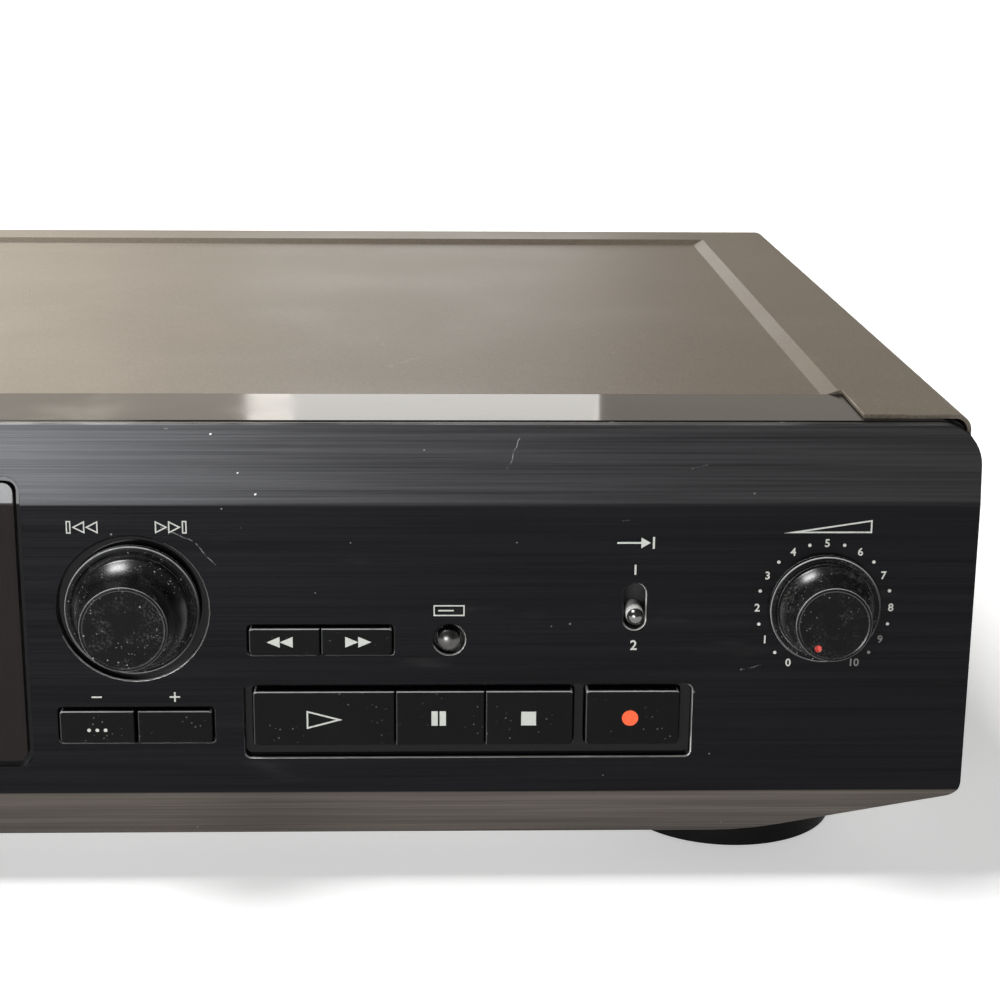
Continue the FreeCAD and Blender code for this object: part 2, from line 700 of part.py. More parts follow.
def front_tub():
    """The moulding's shelves and side walls, inside the cover."""
    front = Y_FACE + RIM_BACK - FIT_GAP
    tub = rounded(-TUB_HALF, TUB_HALF, front, STRIP_END_Y, TUB_FLOOR, TUB_TOP, COVER_EDGE_RADIUS)
    strip = block(-STRIP_END, STRIP_END, front, STRIP_END_Y, TUB_TOP - BEZEL_WALL, BEZEL_TOP)
    return fuse(tub, strip)


def front_hollow():
    """The space inside the moulding, open to the back."""
    back = set_back(face_chain(BEZEL_TOP), PLATE + BEZEL_WALL)
    end = STRIP_END_Y + PAST
    behind = along_x(back + [(end, BEZEL_TOP), (end, LIP_BOTTOM)], -HALF, HALF)
    inside = TUB_HALF - BEZEL_WALL
    return behind.common(block(-inside, inside, Y_FACE, end, TUB_FLOOR + BEZEL_WALL, TUB_TOP - BEZEL_WALL))


def hinge_y():
    """The flap's hinge line, behind the moulding's wall."""
    return WALL_BACK + FIT_GAP + FLAP_BARREL


def front_bezel():
    """The black moulding behind the face, with the top strip and the flap's two lugs."""
    body = fuse(front_shell(), front_tub())
    view = block(DRIVE_X - VIEW_HALF, DRIVE_X + VIEW_HALF, FACE_NEAR, FACE_FAR, VIEW_BOTTOM, VIEW_TOP)
    holes = [front_hollow(), view, slot_hole(), hole_round("play_key", "stop_key")]
    holes.append(hole_round("record_key", "record_key"))
    holes.append(bar_y(SHAFT_HOLE, JOG_X, JOG_Z, FACE_NEAR, FACE_FAR))
    holes.append(bar_y(DISPLAY_KEY_RADIUS + KEY_GAP, DISPLAY_KEY_X, DISPLAY_KEY_Z, FACE_NEAR, FACE_FAR))
    body = cut(body, *holes, *shared_holes())
    back = hinge_y() + HINGE_BOSS
    for side in (-1, 1):
        near = DRIVE_X + side * (FLAP_HALF + FIT_GAP)
        far = near + side * LUG_WIDTH
        lug = block(min(near, far), max(near, far), WALL_BACK, back,
                    HINGE_Z - HINGE_BOSS, HINGE_Z + HINGE_BOSS)
        inner, outer = near - side * PAST, far + side * PAST
        bore = rod(HINGE_PIN + PIN_FIT, (inner, hinge_y(), HINGE_Z), (outer, hinge_y(), HINGE_Z))
        body = cut(fuse(body, lug), bore)
    return body


def display_window():
    """The smoked window, set in the face plate, with the disc slot through it."""
    sheet = face_layer(FACE_TOP, WINDOW_SUNK, PLATE)
    return cut(sheet.common(window_block(0.0)), slot_hole())


def disc_flap():
    """The flap that closes the disc slot from inside, on two pins."""
    y = hinge_y()
    front = WALL_BACK + FIT_GAP
    left, right = DRIVE_X - FLAP_HALF, DRIVE_X + FLAP_HALF
    leaf = block(left, right, front, front + FLAP_SHEET, HINGE_Z - FLAP_DROP, HINGE_Z)
    barrel = rod(FLAP_BARREL, (left, y, HINGE_Z), (right, y, HINGE_Z))
    reach = FLAP_HALF + FIT_GAP + LUG_WIDTH
    pin = rod(HINGE_PIN, (DRIVE_X - reach, y, HINGE_Z), (DRIVE_X + reach, y, HINGE_Z))
    return fuse(leaf, barrel, pin)


def display_tube():
    """The display's glass tube and the holder that stands it off the board."""
    front = Y_FACE + TUBE_FRONT
    glass = block(DRIVE_X - TUBE_HALF, DRIVE_X + TUBE_HALF, front, front + TUBE_DEPTH,
                  TUBE_BOTTOM, TUBE_BOTTOM + TUBE_HEIGHT)
    inset = TUBE_HEIGHT / 4
    holder = block(DRIVE_X - TUBE_HALF + inset, DRIVE_X + TUBE_HALF - inset, front + TUBE_DEPTH,
                   Y_FACE + BOARD_FRONT, TUBE_BOTTOM + inset, BOARD_LOW_TOP - FIT_GAP)
    return group(glass, holder)


# ---------------------------------------------------------------- front board, switches and keys
BOARD_Y = Y_FACE + BOARD_FRONT
SWITCH_FRONT = BOARD_Y - SWITCH_DEPTH
CATCH_FRONT = WALL_BACK + FIT_GAP
CATCH_BACK = CATCH_FRONT + KEY_CATCH_SHEET


def front_board():
    """The circuit board behind the face, stepped down under the disc drive."""
    back = BOARD_Y + BOARD_SHEET
    low = block(-BOARD_HALF, BOARD_HALF, BOARD_Y, back, BOARD_BOTTOM, BOARD_LOW_TOP)
    right = block(BOARD_STEP_RIGHT, BOARD_HALF, BOARD_Y, back, BOARD_LOW_TOP, BOARD_HIGH_TOP)
    left = block(-BOARD_HALF, BOARD_STEP_LEFT, BOARD_Y, back, BOARD_LOW_TOP, BOARD_HIGH_TOP)
    return fuse(low, right, left)


def key_centres():
    """The middle of each key, as (x, z)."""
    centres = {name: ((x0 + x1) / 2, (z0 + z1) / 2) for name, (x0, x1, z0, z1) in key_spans().items()}
    centres["display_key"] = (DISPLAY_KEY_X, DISPLAY_KEY_Z)
    return centres


def tact_switches():
    """One small switch behind each key, with a bore for its plunger."""
    half = SWITCH_SIDE / 2
    depth = PLUNGER_IN + KEY_TRAVEL + FIT_GAP
    switches = []
    for x, z in key_centres().values():
        case = rounded(x - half, x + half, SWITCH_FRONT, BOARD_Y, z - half, z + half, FIT_GAP)
        bore = bar_y(PLUNGER_RADIUS + PIN_FIT, x, z, SWITCH_FRONT, SWITCH_FRONT + depth)
        switches.append(cut(case, bore))
    return group(*switches)


def stem_and_plunger(x, z):
    """A key's stem, and the switch plunger that it drives."""
    meet = SWITCH_FRONT - PLUNGER_OUT
    stem = bar_y(KEY_STEM, x, z, CATCH_BACK, meet)
    plunger = bar_y(PLUNGER_RADIUS, x, z, meet, SWITCH_FRONT + PLUNGER_IN)
    return stem, plunger


def free_ends(name):
    """The ends of a key that have no other key beside them."""
    x0, x1, z0, _ = key_spans()[name]
    row = [span for other, span in key_spans().items() if other != name and span[2] == z0]
    return [x for x in (x0, x1) if all(min(abs(x - span[0]), abs(x - span[1])) > KEY_BESIDE for span in row)]


def key(name):
    """An oblong key with catches above and below it, and its stem."""
    x0, x1, z0, z1 = key_spans()[name]
    cap = block(x0, x1, Y_FACE - KEY_PROUD, CATCH_BACK, z0, z1)
    ends = free_ends(name)
    corners = [edge for edge in edges_along_y(cap) if any(abs(edge.CenterOfMass.x - x) < NEAR for x in ends)]
    if corners:
        cap = cap.makeFillet(KEY_CORNER, corners)
    cap = soft_front(cap, KEY_ROUND)
    catch = block(x0 + KEY_CATCH, x1 - KEY_CATCH, CATCH_FRONT, CATCH_BACK, z0 - KEY_CATCH, z1 + KEY_CATCH)
    stem, plunger = stem_and_plunger((x0 + x1) / 2, (z0 + z1) / 2)
    return group(fuse(cap, catch, stem), plunger)


def display_key():
    """The small round key with a domed end."""
    r = DISPLAY_KEY_RADIUS
    tip = Y_FACE - DISPLAY_KEY_PROUD
    flange = r + KEY_GAP + KEY_CATCH
    cap = turned(DISPLAY_KEY_X, DISPLAY_KEY_Z, (0.0, tip), dome(r, tip, DISPLAY_KEY_DOME), (r, CATCH_FRONT),
                 (flange, CATCH_FRONT), (flange, CATCH_BACK), (0.0, CATCH_BACK))
    stem, plunger = stem_and_plunger(DISPLAY_KEY_X, DISPLAY_KEY_Z)
    return group(fuse(cap, stem), plunger)


def power_button():
    """The power button and the square rod to its switch."""
    x = POWER_LEFT + POWER_WIDTH / 2
    z = POWER_BOTTOM + POWER_HEIGHT / 2
    cap = block(POWER_LEFT, POWER_LEFT + POWER_WIDTH, Y_FACE - POWER_PROUD, CATCH_BACK, POWER_BOTTOM,
                POWER_BOTTOM + POWER_HEIGHT)
    catch = block(POWER_LEFT + KEY_CATCH, POWER_LEFT + POWER_WIDTH - KEY_CATCH, CATCH_FRONT, CATCH_BACK,
                  POWER_BOTTOM - KEY_CATCH, POWER_BOTTOM + POWER_HEIGHT + KEY_CATCH)
    half = POWER_ROD_SIDE / 2
    stem = block(x - half, x + half, CATCH_BACK, BOARD_Y - POWER_SWITCH_DEPTH / 2, z - half, z + half)
    return fuse(soft_front(cap, KEY_ROUND), catch, stem)


def power_switch():
    """The latching switch that the power button works."""
    x = POWER_LEFT + POWER_WIDTH / 2
    z = POWER_BOTTOM + POWER_HEIGHT / 2
    half = POWER_SWITCH_SIDE / 2
    front = BOARD_Y - POWER_SWITCH_DEPTH
    case = block(x - half, x + half, front, BOARD_Y, z - half, z + half)
    bore = POWER_ROD_SIDE / 2 + PIN_FIT
    end = BOARD_Y - POWER_SWITCH_DEPTH / 2 + POWER_TRAVEL + FIT_GAP
    return cut(case, block(x - bore, x + bore, front, end, z - bore, z + bore))


def standby_light():
    """The standby light's clear rod, from the board to the face."""
    z = POWER_BOTTOM + POWER_HEIGHT / 2
    return bar_y(LIGHT_RADIUS, LIGHT_X, z, Y_FACE - LIGHT_PROUD, BOARD_Y)


# ---------------------------------------------------------------- levers and knobs
def lever(x, z, upright):
    """A round-ended lever with the plate that hides its slot, and its foot in the switch."""
    tip = Y_FACE - LEVER_OUT
    r = LEVER_RADIUS
    end = BOARD_Y - SLIDE_SWITCH_DEPTH / 2
    nose = turned(x, z, (0.0, tip), dome(r, tip, r), (r, end), (0.0, end))
    across = LEVER_PLATE_WIDTH / 2
    along = LEVER_PLATE_LENGTH / 2
    half_x, half_z = (across, along) if upright else (along, across)
    shield = block(x - half_x, x + half_x, CATCH_FRONT, CATCH_FRONT + LEVER_PLATE, z - half_z, z + half_z)
    return fuse(nose, shield)


def slide_switch(x, z, low, high, upright):
    """A slide switch on the board, open along the lever's way from low to high."""
    across = SLIDE_SWITCH_WIDTH / 2
    along = SLIDE_SWITCH_LENGTH / 2
    half_x, half_z = (across, along) if upright else (along, across)
    front = BOARD_Y - SLIDE_SWITCH_DEPTH
    case = block(x - half_x, x + half_x, front, BOARD_Y, z - half_z, z + half_z)
    r = LEVER_RADIUS + FIT_GAP
    end = BOARD_Y - SLIDE_SWITCH_DEPTH / 2 + FIT_GAP
    if upright:
        return cut(case, oblong(x - r, x + r, low - r, high + r, front, end))
    return cut(case, oblong(low - r, high + r, z - r, z + r, front, end))


def slide_switches():
    """The input switch and the timer switch."""
    top = INPUT_LEVER_Z + INPUT_TRAVEL
    middle = (INPUT_LEVER_Z + top) / 2
    source = slide_switch(LEVER_SLOT_X, middle, INPUT_LEVER_Z, top, True)
    timer = slide_switch(TIMER_X, TIMER_Z, TIMER_X - TIMER_STEP, TIMER_X + TIMER_STEP, False)
    return group(source, timer)


def knob(x, z, reach, tip, body, shoulder, flange, flange_front, back):
    """A turned knob: a flat end, a neck that flares to a short body, and a flange."""
    front = Y_FACE - reach
    neck = front + KNOB_NECK
    edge = Y_FACE - shoulder
    both = ((body - tip) ** 2 + (edge - neck) ** 2) / (2 * (body - tip))
    turn = 2 * math.atan((body - tip) / (edge - neck))
    flare = both - KNOB_SHOULDER

    def on_flare(angle):
        return (tip + flare * (1 - math.cos(angle)), neck + flare * math.sin(angle))

    def on_shoulder(angle):
        return (body - KNOB_SHOULDER * (1 - math.cos(angle)), edge - KNOB_SHOULDER * math.sin(angle))

    inset = KNOB_RIM * (1 - math.sqrt(0.5))
    rim = ((tip - inset, front + inset), (tip, front + KNOB_RIM))
    bore = SHAFT_RADIUS + KNOB_FIT
    return turned(x, z, (0.0, front), (tip - KNOB_RIM, front), rim, (tip, neck),
                  (on_flare(turn / 2), on_flare(turn)), (on_shoulder(turn / 2), (body, edge)),
                  (body, Y_FACE - flange_front), (flange, Y_FACE - flange_front + KNOB_FIT), (flange, back),
                  (bore, back), (bore, back - KNOB_BORE_DEPTH), (0.0, back - KNOB_BORE_DEPTH))


def level_knob():
    """The level knob, with a sunk dot on its front that shows where it stands."""
    body = knob(LEVEL_X, LEVEL_Z, LEVEL_REACH, LEVEL_TIP, LEVEL_BODY, LEVEL_SHOULDER, LEVEL_FLANGE,
                LEVEL_FLANGE_FRONT, LEVEL_BACK)
    angle = math.radians(LEVEL_DOT_ANGLE)
    x = LEVEL_X + LEVEL_DOT_REACH * math.sin(angle)
    z = LEVEL_Z + LEVEL_DOT_REACH * math.cos(angle)
    front = Y_FACE - LEVEL_REACH
    return cut(body, bar_y(LEVEL_DOT_RADIUS, x, z, front - PAST, front + LEVEL_DOT_DEPTH))


def shaft(x, z, knob_back, end):
    """A knob's shaft, with a flat on its top."""
    start = knob_back - KNOB_BORE_DEPTH + KNOB_FIT
    bar = bar_y(SHAFT_RADIUS, x, z, start, end)
    level = z + SHAFT_RADIUS - SHAFT_FLAT
    return cut(bar, block(x - SHAFT_RADIUS, x + SHAFT_RADIUS, FACE_FAR, end, level, level + SHAFT_RADIUS))


JOG_BACK = Y_FACE + PLATE - JOG_TRAVEL - JOG_FLANGE_GAP
LEVEL_BACK = Y_FACE - LEVEL_FLANGE_GAP
ENCODER_FRONT = BOARD_Y - ENCODER_DEPTH
ROTOR_FRONT = ENCODER_FRONT + ENCODER_FRONT_WALL


def jog_encoder():
    """The encoder under the jog knob: a square case, a bushing and a hollow for the rotor."""
    half = ENCODER_SIDE / 2
    case = block(JOG_X - half, JOG_X + half, ENCODER_FRONT, BOARD_Y, JOG_Z - half, JOG_Z + half)
    bushing = bar_y(BUSHING_RADIUS, JOG_X, JOG_Z, ENCODER_FRONT - BUSHING_LENGTH, ENCODER_FRONT)
    bore = bar_y(SHAFT_RADIUS + PIN_FIT, JOG_X, JOG_Z, ENCODER_FRONT - BUSHING_LENGTH, BOARD_Y - FIT_GAP)
    hollow = bar_y(ROTOR_RADIUS + PIN_FIT, JOG_X, JOG_Z, ROTOR_FRONT - PIN_FIT,
                   ROTOR_FRONT + ROTOR_LENGTH + PIN_FIT)
    return cut(fuse(case, bushing), bore, hollow)


def encoder_rotor():
    """The ring inside the encoder that turns with the shaft and lets it slide."""
    ring = bar_y(ROTOR_RADIUS, JOG_X, JOG_Z, ROTOR_FRONT, ROTOR_FRONT + ROTOR_LENGTH)
    r = SHAFT_RADIUS + PIN_FIT
    hole = bar_y(r, JOG_X, JOG_Z, ROTOR_FRONT - PAST, BOARD_Y)
    below = block(JOG_X - r, JOG_X + r, ROTOR_FRONT - PAST, BOARD_Y, JOG_Z - r, JOG_Z + r - SHAFT_FLAT)
    return cut(ring, hole.common(below))


def level_pot():
    """The level control's round case on the board, with its bushing."""
    front = BOARD_Y - POT_DEPTH
    case = bar_y(POT_RADIUS, LEVEL_X, LEVEL_Z, front, BOARD_Y)
    bushing = bar_y(BUSHING_RADIUS, LEVEL_X, LEVEL_Z, front - BUSHING_LENGTH / 2, front)
    bore = bar_y(SHAFT_RADIUS + PIN_FIT, LEVEL_X, LEVEL_Z, front - BUSHING_LENGTH, BOARD_Y - POT_FLOOR)
    return cut(fuse(case, bushing), bore)


# ---------------------------------------------------------------- cover, pan, rear panel
COVER_FRONT = Y_FACE + RIM_BACK + FIT_GAP
PANEL_Y = Y_BACK - COVER_SHEET - PAN_SHEET
PAN_TOP = UNDERSIDE + PAN_SHEET
BOARD_TOP = PAN_TOP + STANDOFF_HEIGHT + BOARD_SHEET
SIDES = (-1, 1)


def recess(lowered):
    """The cutter of the cover's sunk centre, with sloped sides and a sloped back end."""
    floor = HEIGHT - RECESS_DEPTH - lowered
    top = floor + RECESS_DEPTH
    open_top = top + COVER_SHEET + RECESS_DEPTH
    wide = RECESS_HALF + RECESS_SLOPE
    across = [(-RECESS_HALF, floor), (RECESS_HALF, floor), (wide, top), (wide, open_top)]
    across += [(-wide, open_top), (-wide, top)]
    end = Y_BACK - REAR_BAND
    along = [(Y_FACE, floor), (end - RECESS_SLOPE, floor), (end, top), (end, open_top), (Y_FACE, open_top)]
    return along_y(across, Y_FACE, Y_BACK).common(along_x(along, -HALF, HALF))


def round_topped(half, y0, y1, low, top, radius):
    """A block whose two top edges along Y are rounded."""
    body = block(-half, half, y0, y1, low, top)
    upper = [edge for edge in edges_along_y(body) if edge.Vertexes[0].Z > top - radius]
    return body.makeFillet(radius, upper)


def top_cover():
    """The bent steel cover: raised bands at the sides and back, a sunk centre and a back flange."""
    low = UNDERSIDE + FIT_GAP
    outer = round_topped(COVER_HALF, COVER_FRONT, Y_BACK, low, HEIGHT, COVER_EDGE_RADIUS)
    inner = round_topped(COVER_HALF - COVER_SHEET, Y_FACE, Y_BACK - COVER_SHEET, low - PAST,
                         HEIGHT - COVER_SHEET, COVER_EDGE_RADIUS - COVER_SHEET)
    body = cut(outer, recess(0.0), cut(inner, recess(COVER_SHEET)))
    half = STRIP_END + FIT_GAP
    mouth = block(-half, half, Y_FACE, STRIP_END_Y + FIT_GAP, LIP_TOP, HEIGHT + PAST)
    below = block(-HALF, HALF, Y_BACK - 2 * COVER_SHEET, Y_BACK + PAST, 0, HEIGHT - BACK_FLANGE)
    inside = COVER_HALF - COVER_SHEET
    below = below.common(block(-inside, inside, Y_FACE, Y_BACK + PAST, 0, HEIGHT))
    return cut(body, mouth, below, *cover_screw_holes())


def cover_screw_holes():
    """Clearance holes of the cover's screws, through the cover and what is under it."""
    holes = []
    for side in SIDES:
        for y in SIDE_SCREW_YS:
            outside = (side * HALF, y, SIDE_SCREW_Z)
            inside = (side * (HALF - SCREW_REACH), y, SIDE_SCREW_Z)
            holes.append(rod(SCREW_HOLE, outside, inside))
    z = HEIGHT - BACK_FLANGE / 2
    holes += [bar_y(SCREW_HOLE, x, z, Y_BACK - SCREW_REACH, Y_BACK + PAST) for x in BACK_SCREW_XS]
    return holes


def screw(seat, way):
    """A pan-head screw: its head lies on the seat, and its thread points along way."""
    seat = Vector(*seat)
    way = Vector(*way)
    head = Part.makeCylinder(SCREW_HEAD, SCREW_HEAD_SHEET, seat - way * SCREW_HEAD_SHEET, way)
    middle = SCREW_HEAD_SHEET / 2
    rim = [edge for edge in head.Edges if edge.Closed and (edge.CenterOfMass - seat).Length > middle]
    head = head.makeFillet(middle, rim)
    thread = Part.makeCylinder(SCREW_RADIUS, SCREW_REACH, seat, way)
    slot = Part.makeCylinder(SCREW_SOCKET, middle, seat - way * SCREW_HEAD_SHEET, way)
    return cut(fuse(head, thread), slot)


def cover_screws():
    """Two screws in each side of the cover and three in its back flange."""
    screws = []
    for side in SIDES:
        screws += [screw((side * COVER_HALF, y, SIDE_SCREW_Z), (-side, 0, 0)) for y in SIDE_SCREW_YS]
    z = HEIGHT - BACK_FLANGE / 2
    screws += [screw((x, Y_BACK, z), (0, -1, 0)) for x in BACK_SCREW_XS]
    return group(*screws)


def foot_places():
    """The middle of each foot, by the foot's name."""
    front = Y_FACE + FRONT_FOOT_DEPTH
    back = Y_BACK - BACK_FOOT_INSET
    places = {}
    for end, y in (("front", front), ("rear", back)):
        places[end + "_left_foot"] = (-FOOT_X, y)
        places[end + "_right_foot"] = (FOOT_X, y)
    return places


def foot(x, y):
    """A tapered plastic foot with a hollow for its screw and a groove for its pad."""
    low = PAD_SHEET - PAD_SUNK
    body = turned_upright(x, y, (FOOT_CORE, low), (FOOT_RADIUS, low), (FOOT_TOP_RADIUS, UNDERSIDE),
                          (SCREW_HOLE, UNDERSIDE), (SCREW_HOLE, UNDERSIDE - FOOT_SEAT),
                          (FOOT_CORE, UNDERSIDE - FOOT_SEAT))
    groove = turned_upright(x, y, (PAD_CORE, low - PAST), (PAD_RADIUS, low - PAST), (PAD_RADIUS, PAD_SHEET),
                            (PAD_CORE, PAD_SHEET))
    return cut(body, groove)


def foot_pads():
    """A soft ring under each foot."""
    outer = PAD_RADIUS - PIN_FIT
    inner = PAD_CORE + PIN_FIT
    return group(*[turned_upright(x, y, (inner, 0.0), (outer, 0.0), (outer, PAD_SHEET), (inner, PAD_SHEET))
                   for x, y in foot_places().values()])


def main_board_corners():
    """The four standoffs of the main board, as (x, y)."""
    xs = (MAIN_LEFT + MAIN_INSET, MAIN_RIGHT - MAIN_INSET)
    ys = (Y_FACE + MAIN_FRONT + MAIN_INSET, Y_BACK - MAIN_BACK - BACK_INSET)
    return [(x, y) for x in xs for y in ys]


def leg_depths():
    """The fronts of the drive frame's legs: just behind the moulding, and at the frame's back."""
    return (STRIP_END_Y + FIT_GAP, FRAME_Y + FRAME_DEPTH - FRAME_LEG)


def leg_sides():
    """The left faces of the drive frame's legs."""
    return (DRIVE_X - FRAME_LEFT, DRIVE_X + FRAME_RIGHT - FRAME_SHEET)


def drive_feet():
    """The middles of the drive frame's four feet, as (x, y)."""
    return [(x - FRAME_FOOT / 2, y + FRAME_LEG / 2) for x in leg_sides() for y in leg_depths()]


def chassis_screws():
    """The screws of the feet, the main board and the disc drive."""
    screws = [screw((x, y, UNDERSIDE - FOOT_SEAT), (0, 0, 1)) for x, y in foot_places().values()]
    screws += [screw((x, y, BOARD_TOP), (0, 0, -1)) for x, y in main_board_corners()]
    screws += [screw((x, y, PAN_TOP + FRAME_SHEET), (0, 0, -1)) for x, y in drive_feet()]
    return group(*screws)


def chassis_pan():
    """The steel pan: floor, turned-up sides, standoffs and a row of vents."""
    front = Y_FACE + PAN_FRONT
    floor = block(-TUB_HALF, TUB_HALF, front, PANEL_Y, UNDERSIDE, PAN_TOP)
    walls = []
    for side in SIDES:
        x0, x1 = sorted((side * TUB_HALF, side * (TUB_HALF - PAN_SHEET)))
        walls.append(block(x0, x1, STRIP_END_Y + FIT_GAP, PANEL_Y, UNDERSIDE, UNDERSIDE + PAN_FLANGE))
    posts = [post(STANDOFF_RADIUS, x, y, PAN_TOP, PAN_TOP + STANDOFF_HEIGHT) for x, y in main_board_corners()]
    body = fuse(floor, *walls, *posts)
    holes = [post(SCREW_HOLE, x, y, 0, BOARD_TOP)
             for x, y in list(foot_places().values()) + main_board_corners() + drive_feet()]
    first = VENT_X - (VENT_COUNT - 1) * VENT_PITCH / 2
    for place in range(VENT_COUNT):
        x = first + place * VENT_PITCH
        holes.append(block(x - VENT_WIDTH / 2, x + VENT_WIDTH / 2, VENT_Y, VENT_Y + VENT_LENGTH,
                           UNDERSIDE - PAST, PAN_TOP + PAST))
    return cut(body, *holes, *cover_screw_holes())


# ---------------------------------------------------------------- rear panel and its sockets
JACK_BLOCK_HEIGHT = JACK_SPACING_Z + 2 * JACK_BLOCK_MARGIN
JACK_Z = BOARD_TOP + JACK_BLOCK_HEIGHT / 2
OPTICAL_Z = BOARD_TOP + OPTICAL_OUT / 2 + OPTICAL_LIFT
PANEL_BACK = PANEL_Y + PAN_SHEET


def jack_places():
    """The axes of the four line jacks, as (x, z)."""
    return [(JACK_X + i * JACK_SPACING_X / 2, JACK_Z + j * JACK_SPACING_Z / 2) for i in SIDES for j in SIDES]


def optical_places():
    """The middles of the two optical ports."""
    return [OPTICAL_X + i * OPTICAL_SPACING / 2 for i in SIDES]


def square(x, z, side, y0, y1):
    """A square bar along Y."""
    half = side / 2
    return block(x - half, x + half, y0, y1, z - half, z + half)


def inlet_bar(margin, y0, y1):
    """The mains inlet's round-ended outline along Y, larger by a margin."""
    half_x = INLET_WIDTH / 2 + margin
    half_z = INLET_HEIGHT / 2 + margin
    return oblong(INLET_X - half_x, INLET_X + half_x, INLET_Z - half_z, INLET_Z + half_z, y0, y1)


def rear_panel():
    """The steel back plate with the holes of its sockets."""
    top = HEIGHT - RECESS_DEPTH - COVER_SHEET - FIT_GAP
    plate = block(-TUB_HALF, TUB_HALF, PANEL_Y, PANEL_BACK, UNDERSIDE, top)
    front, back = PANEL_Y - PAST, PANEL_BACK + PAST
    holes = [bar_y(JACK_COLLAR + FIT_GAP, x, z, front, back) for x, z in jack_places()]
    holes += [square(x, OPTICAL_Z, OPTICAL_OUT + 2 * FIT_GAP, front, back) for x in optical_places()]
    holes.append(inlet_bar(INLET_WALL + FIT_GAP, front, back))
    return cut(plate, *holes, *cover_screw_holes())


def line_jacks():
    """Four line jacks in one plastic block that stands on the main board."""
    half = JACK_SPACING_X / 2 + JACK_BLOCK_MARGIN
    end = Y_BACK + JACK_REACH
    root = PANEL_Y - PIN_FIT
    barrels = [bar_y(JACK_RADIUS, x, z, root, end) for x, z in jack_places()]
    collars = [bar_y(JACK_COLLAR, x, z, root, PANEL_BACK + JACK_COLLAR_OUT) for x, z in jack_places()]
    bores = [bar_y(JACK_BORE, x, z, PANEL_Y, end) for x, z in jack_places()]
    body = block(JACK_X - half, JACK_X + half, PANEL_Y - JACK_BLOCK_DEPTH, root, BOARD_TOP,
                 BOARD_TOP + JACK_BLOCK_HEIGHT)
    return cut(fuse(body, *collars, *barrels), *bores)


def optical_ports():
    """Two square optical ports on the main board."""
    ports = []
    for x in optical_places():
        end = PANEL_BACK + OPTICAL_PROUD
        case = square(x, OPTICAL_Z, OPTICAL_OUT, PANEL_Y - OPTICAL_DEPTH, end)
        half = OPTICAL_OUT / 2
        base = block(x - half, x + half, PANEL_Y - OPTICAL_DEPTH, PANEL_Y - FIT_GAP, BOARD_TOP, OPTICAL_Z)
        ports.append(cut(fuse(case, base), square(x, OPTICAL_Z, OPTICAL_IN, end - OPTICAL_DEPTH, end)))
    return group(*ports)


def mains_inlet():
    """The two-pin mains inlet, with a flange outside the panel."""
    end = PANEL_BACK + INLET_PROUD
    floor = end - INLET_DEPTH
    case = inlet_bar(INLET_WALL, floor - INLET_WALL, end)
    flange = inlet_bar(INLET_WALL + INLET_FLANGE, PANEL_BACK, end)
    body = cut(fuse(case, flange), inlet_bar(0.0, floor, end))
    pins = [bar_y(INLET_PIN, INLET_X + side * INLET_PIN_X, INLET_Z, floor, end - 2 * INLET_PIN)
            for side in SIDES]
    return group(body, *pins)


# ---------------------------------------------------------------- main board, transformer, cable
def main_board():
    """The main circuit board on its four standoffs."""
    under = PAN_TOP + STANDOFF_HEIGHT
    body = block(MAIN_LEFT, MAIN_RIGHT, Y_FACE + MAIN_FRONT, Y_BACK - MAIN_BACK, under, BOARD_TOP)
    holes = [post(SCREW_HOLE, x, y, under - PAST, BOARD_TOP + PAST) for x, y in main_board_corners()]
    return cut(body, *holes)


def board_components():
    """What stands on the main board: capacitors, chips, a heat sink and connectors."""
    parts = []
    for x, y, radius, height in CAPACITORS:
        parts.append(post(radius, x, y, BOARD_TOP, BOARD_TOP + height))
    for x, y, width, depth, height in CHIPS:
        parts.append(block(x - width / 2, x + width / 2, y - depth / 2, y + depth / 2,
                           BOARD_TOP, BOARD_TOP + height))
    x, y, width, depth, height = HEAT_SINK
    top = BOARD_TOP + height
    base = block(x, x + width, y, y + SINK_SHEET, BOARD_TOP, top)
    lefts = [x + place * SINK_PITCH for place in range(int(width / SINK_PITCH))]
    fins = [block(left, left + SINK_SHEET, y, y + depth, BOARD_TOP, top) for left in lefts]
    parts.append(fuse(base, *fins))
    return group(*parts)


def mains_transformer():
    """The mains transformer: laminated core, wound bobbin and foot plate."""
    half = TRAFO_WIDTH / 2
    core_half = TRAFO_CORE_DEPTH / 2
    core = block(TRAFO_X - half, TRAFO_X + half, TRAFO_Y - core_half, TRAFO_Y + core_half, PAN_TOP,
                 PAN_TOP + TRAFO_HEIGHT)
    limb = TRAFO_WIDTH / 6
    winding = rounded(TRAFO_X - half + limb, TRAFO_X + half - limb, TRAFO_Y - TRAFO_DEPTH / 2,
                      TRAFO_Y + TRAFO_DEPTH / 2, PAN_TOP + limb, PAN_TOP + TRAFO_HEIGHT - limb, limb / 2)
    plate = block(TRAFO_X - half - TRAFO_FOOT, TRAFO_X + half + TRAFO_FOOT, TRAFO_Y - core_half,
                  TRAFO_Y + core_half, PAN_TOP, PAN_TOP + FRAME_SHEET)
    return fuse(core, winding, plate)


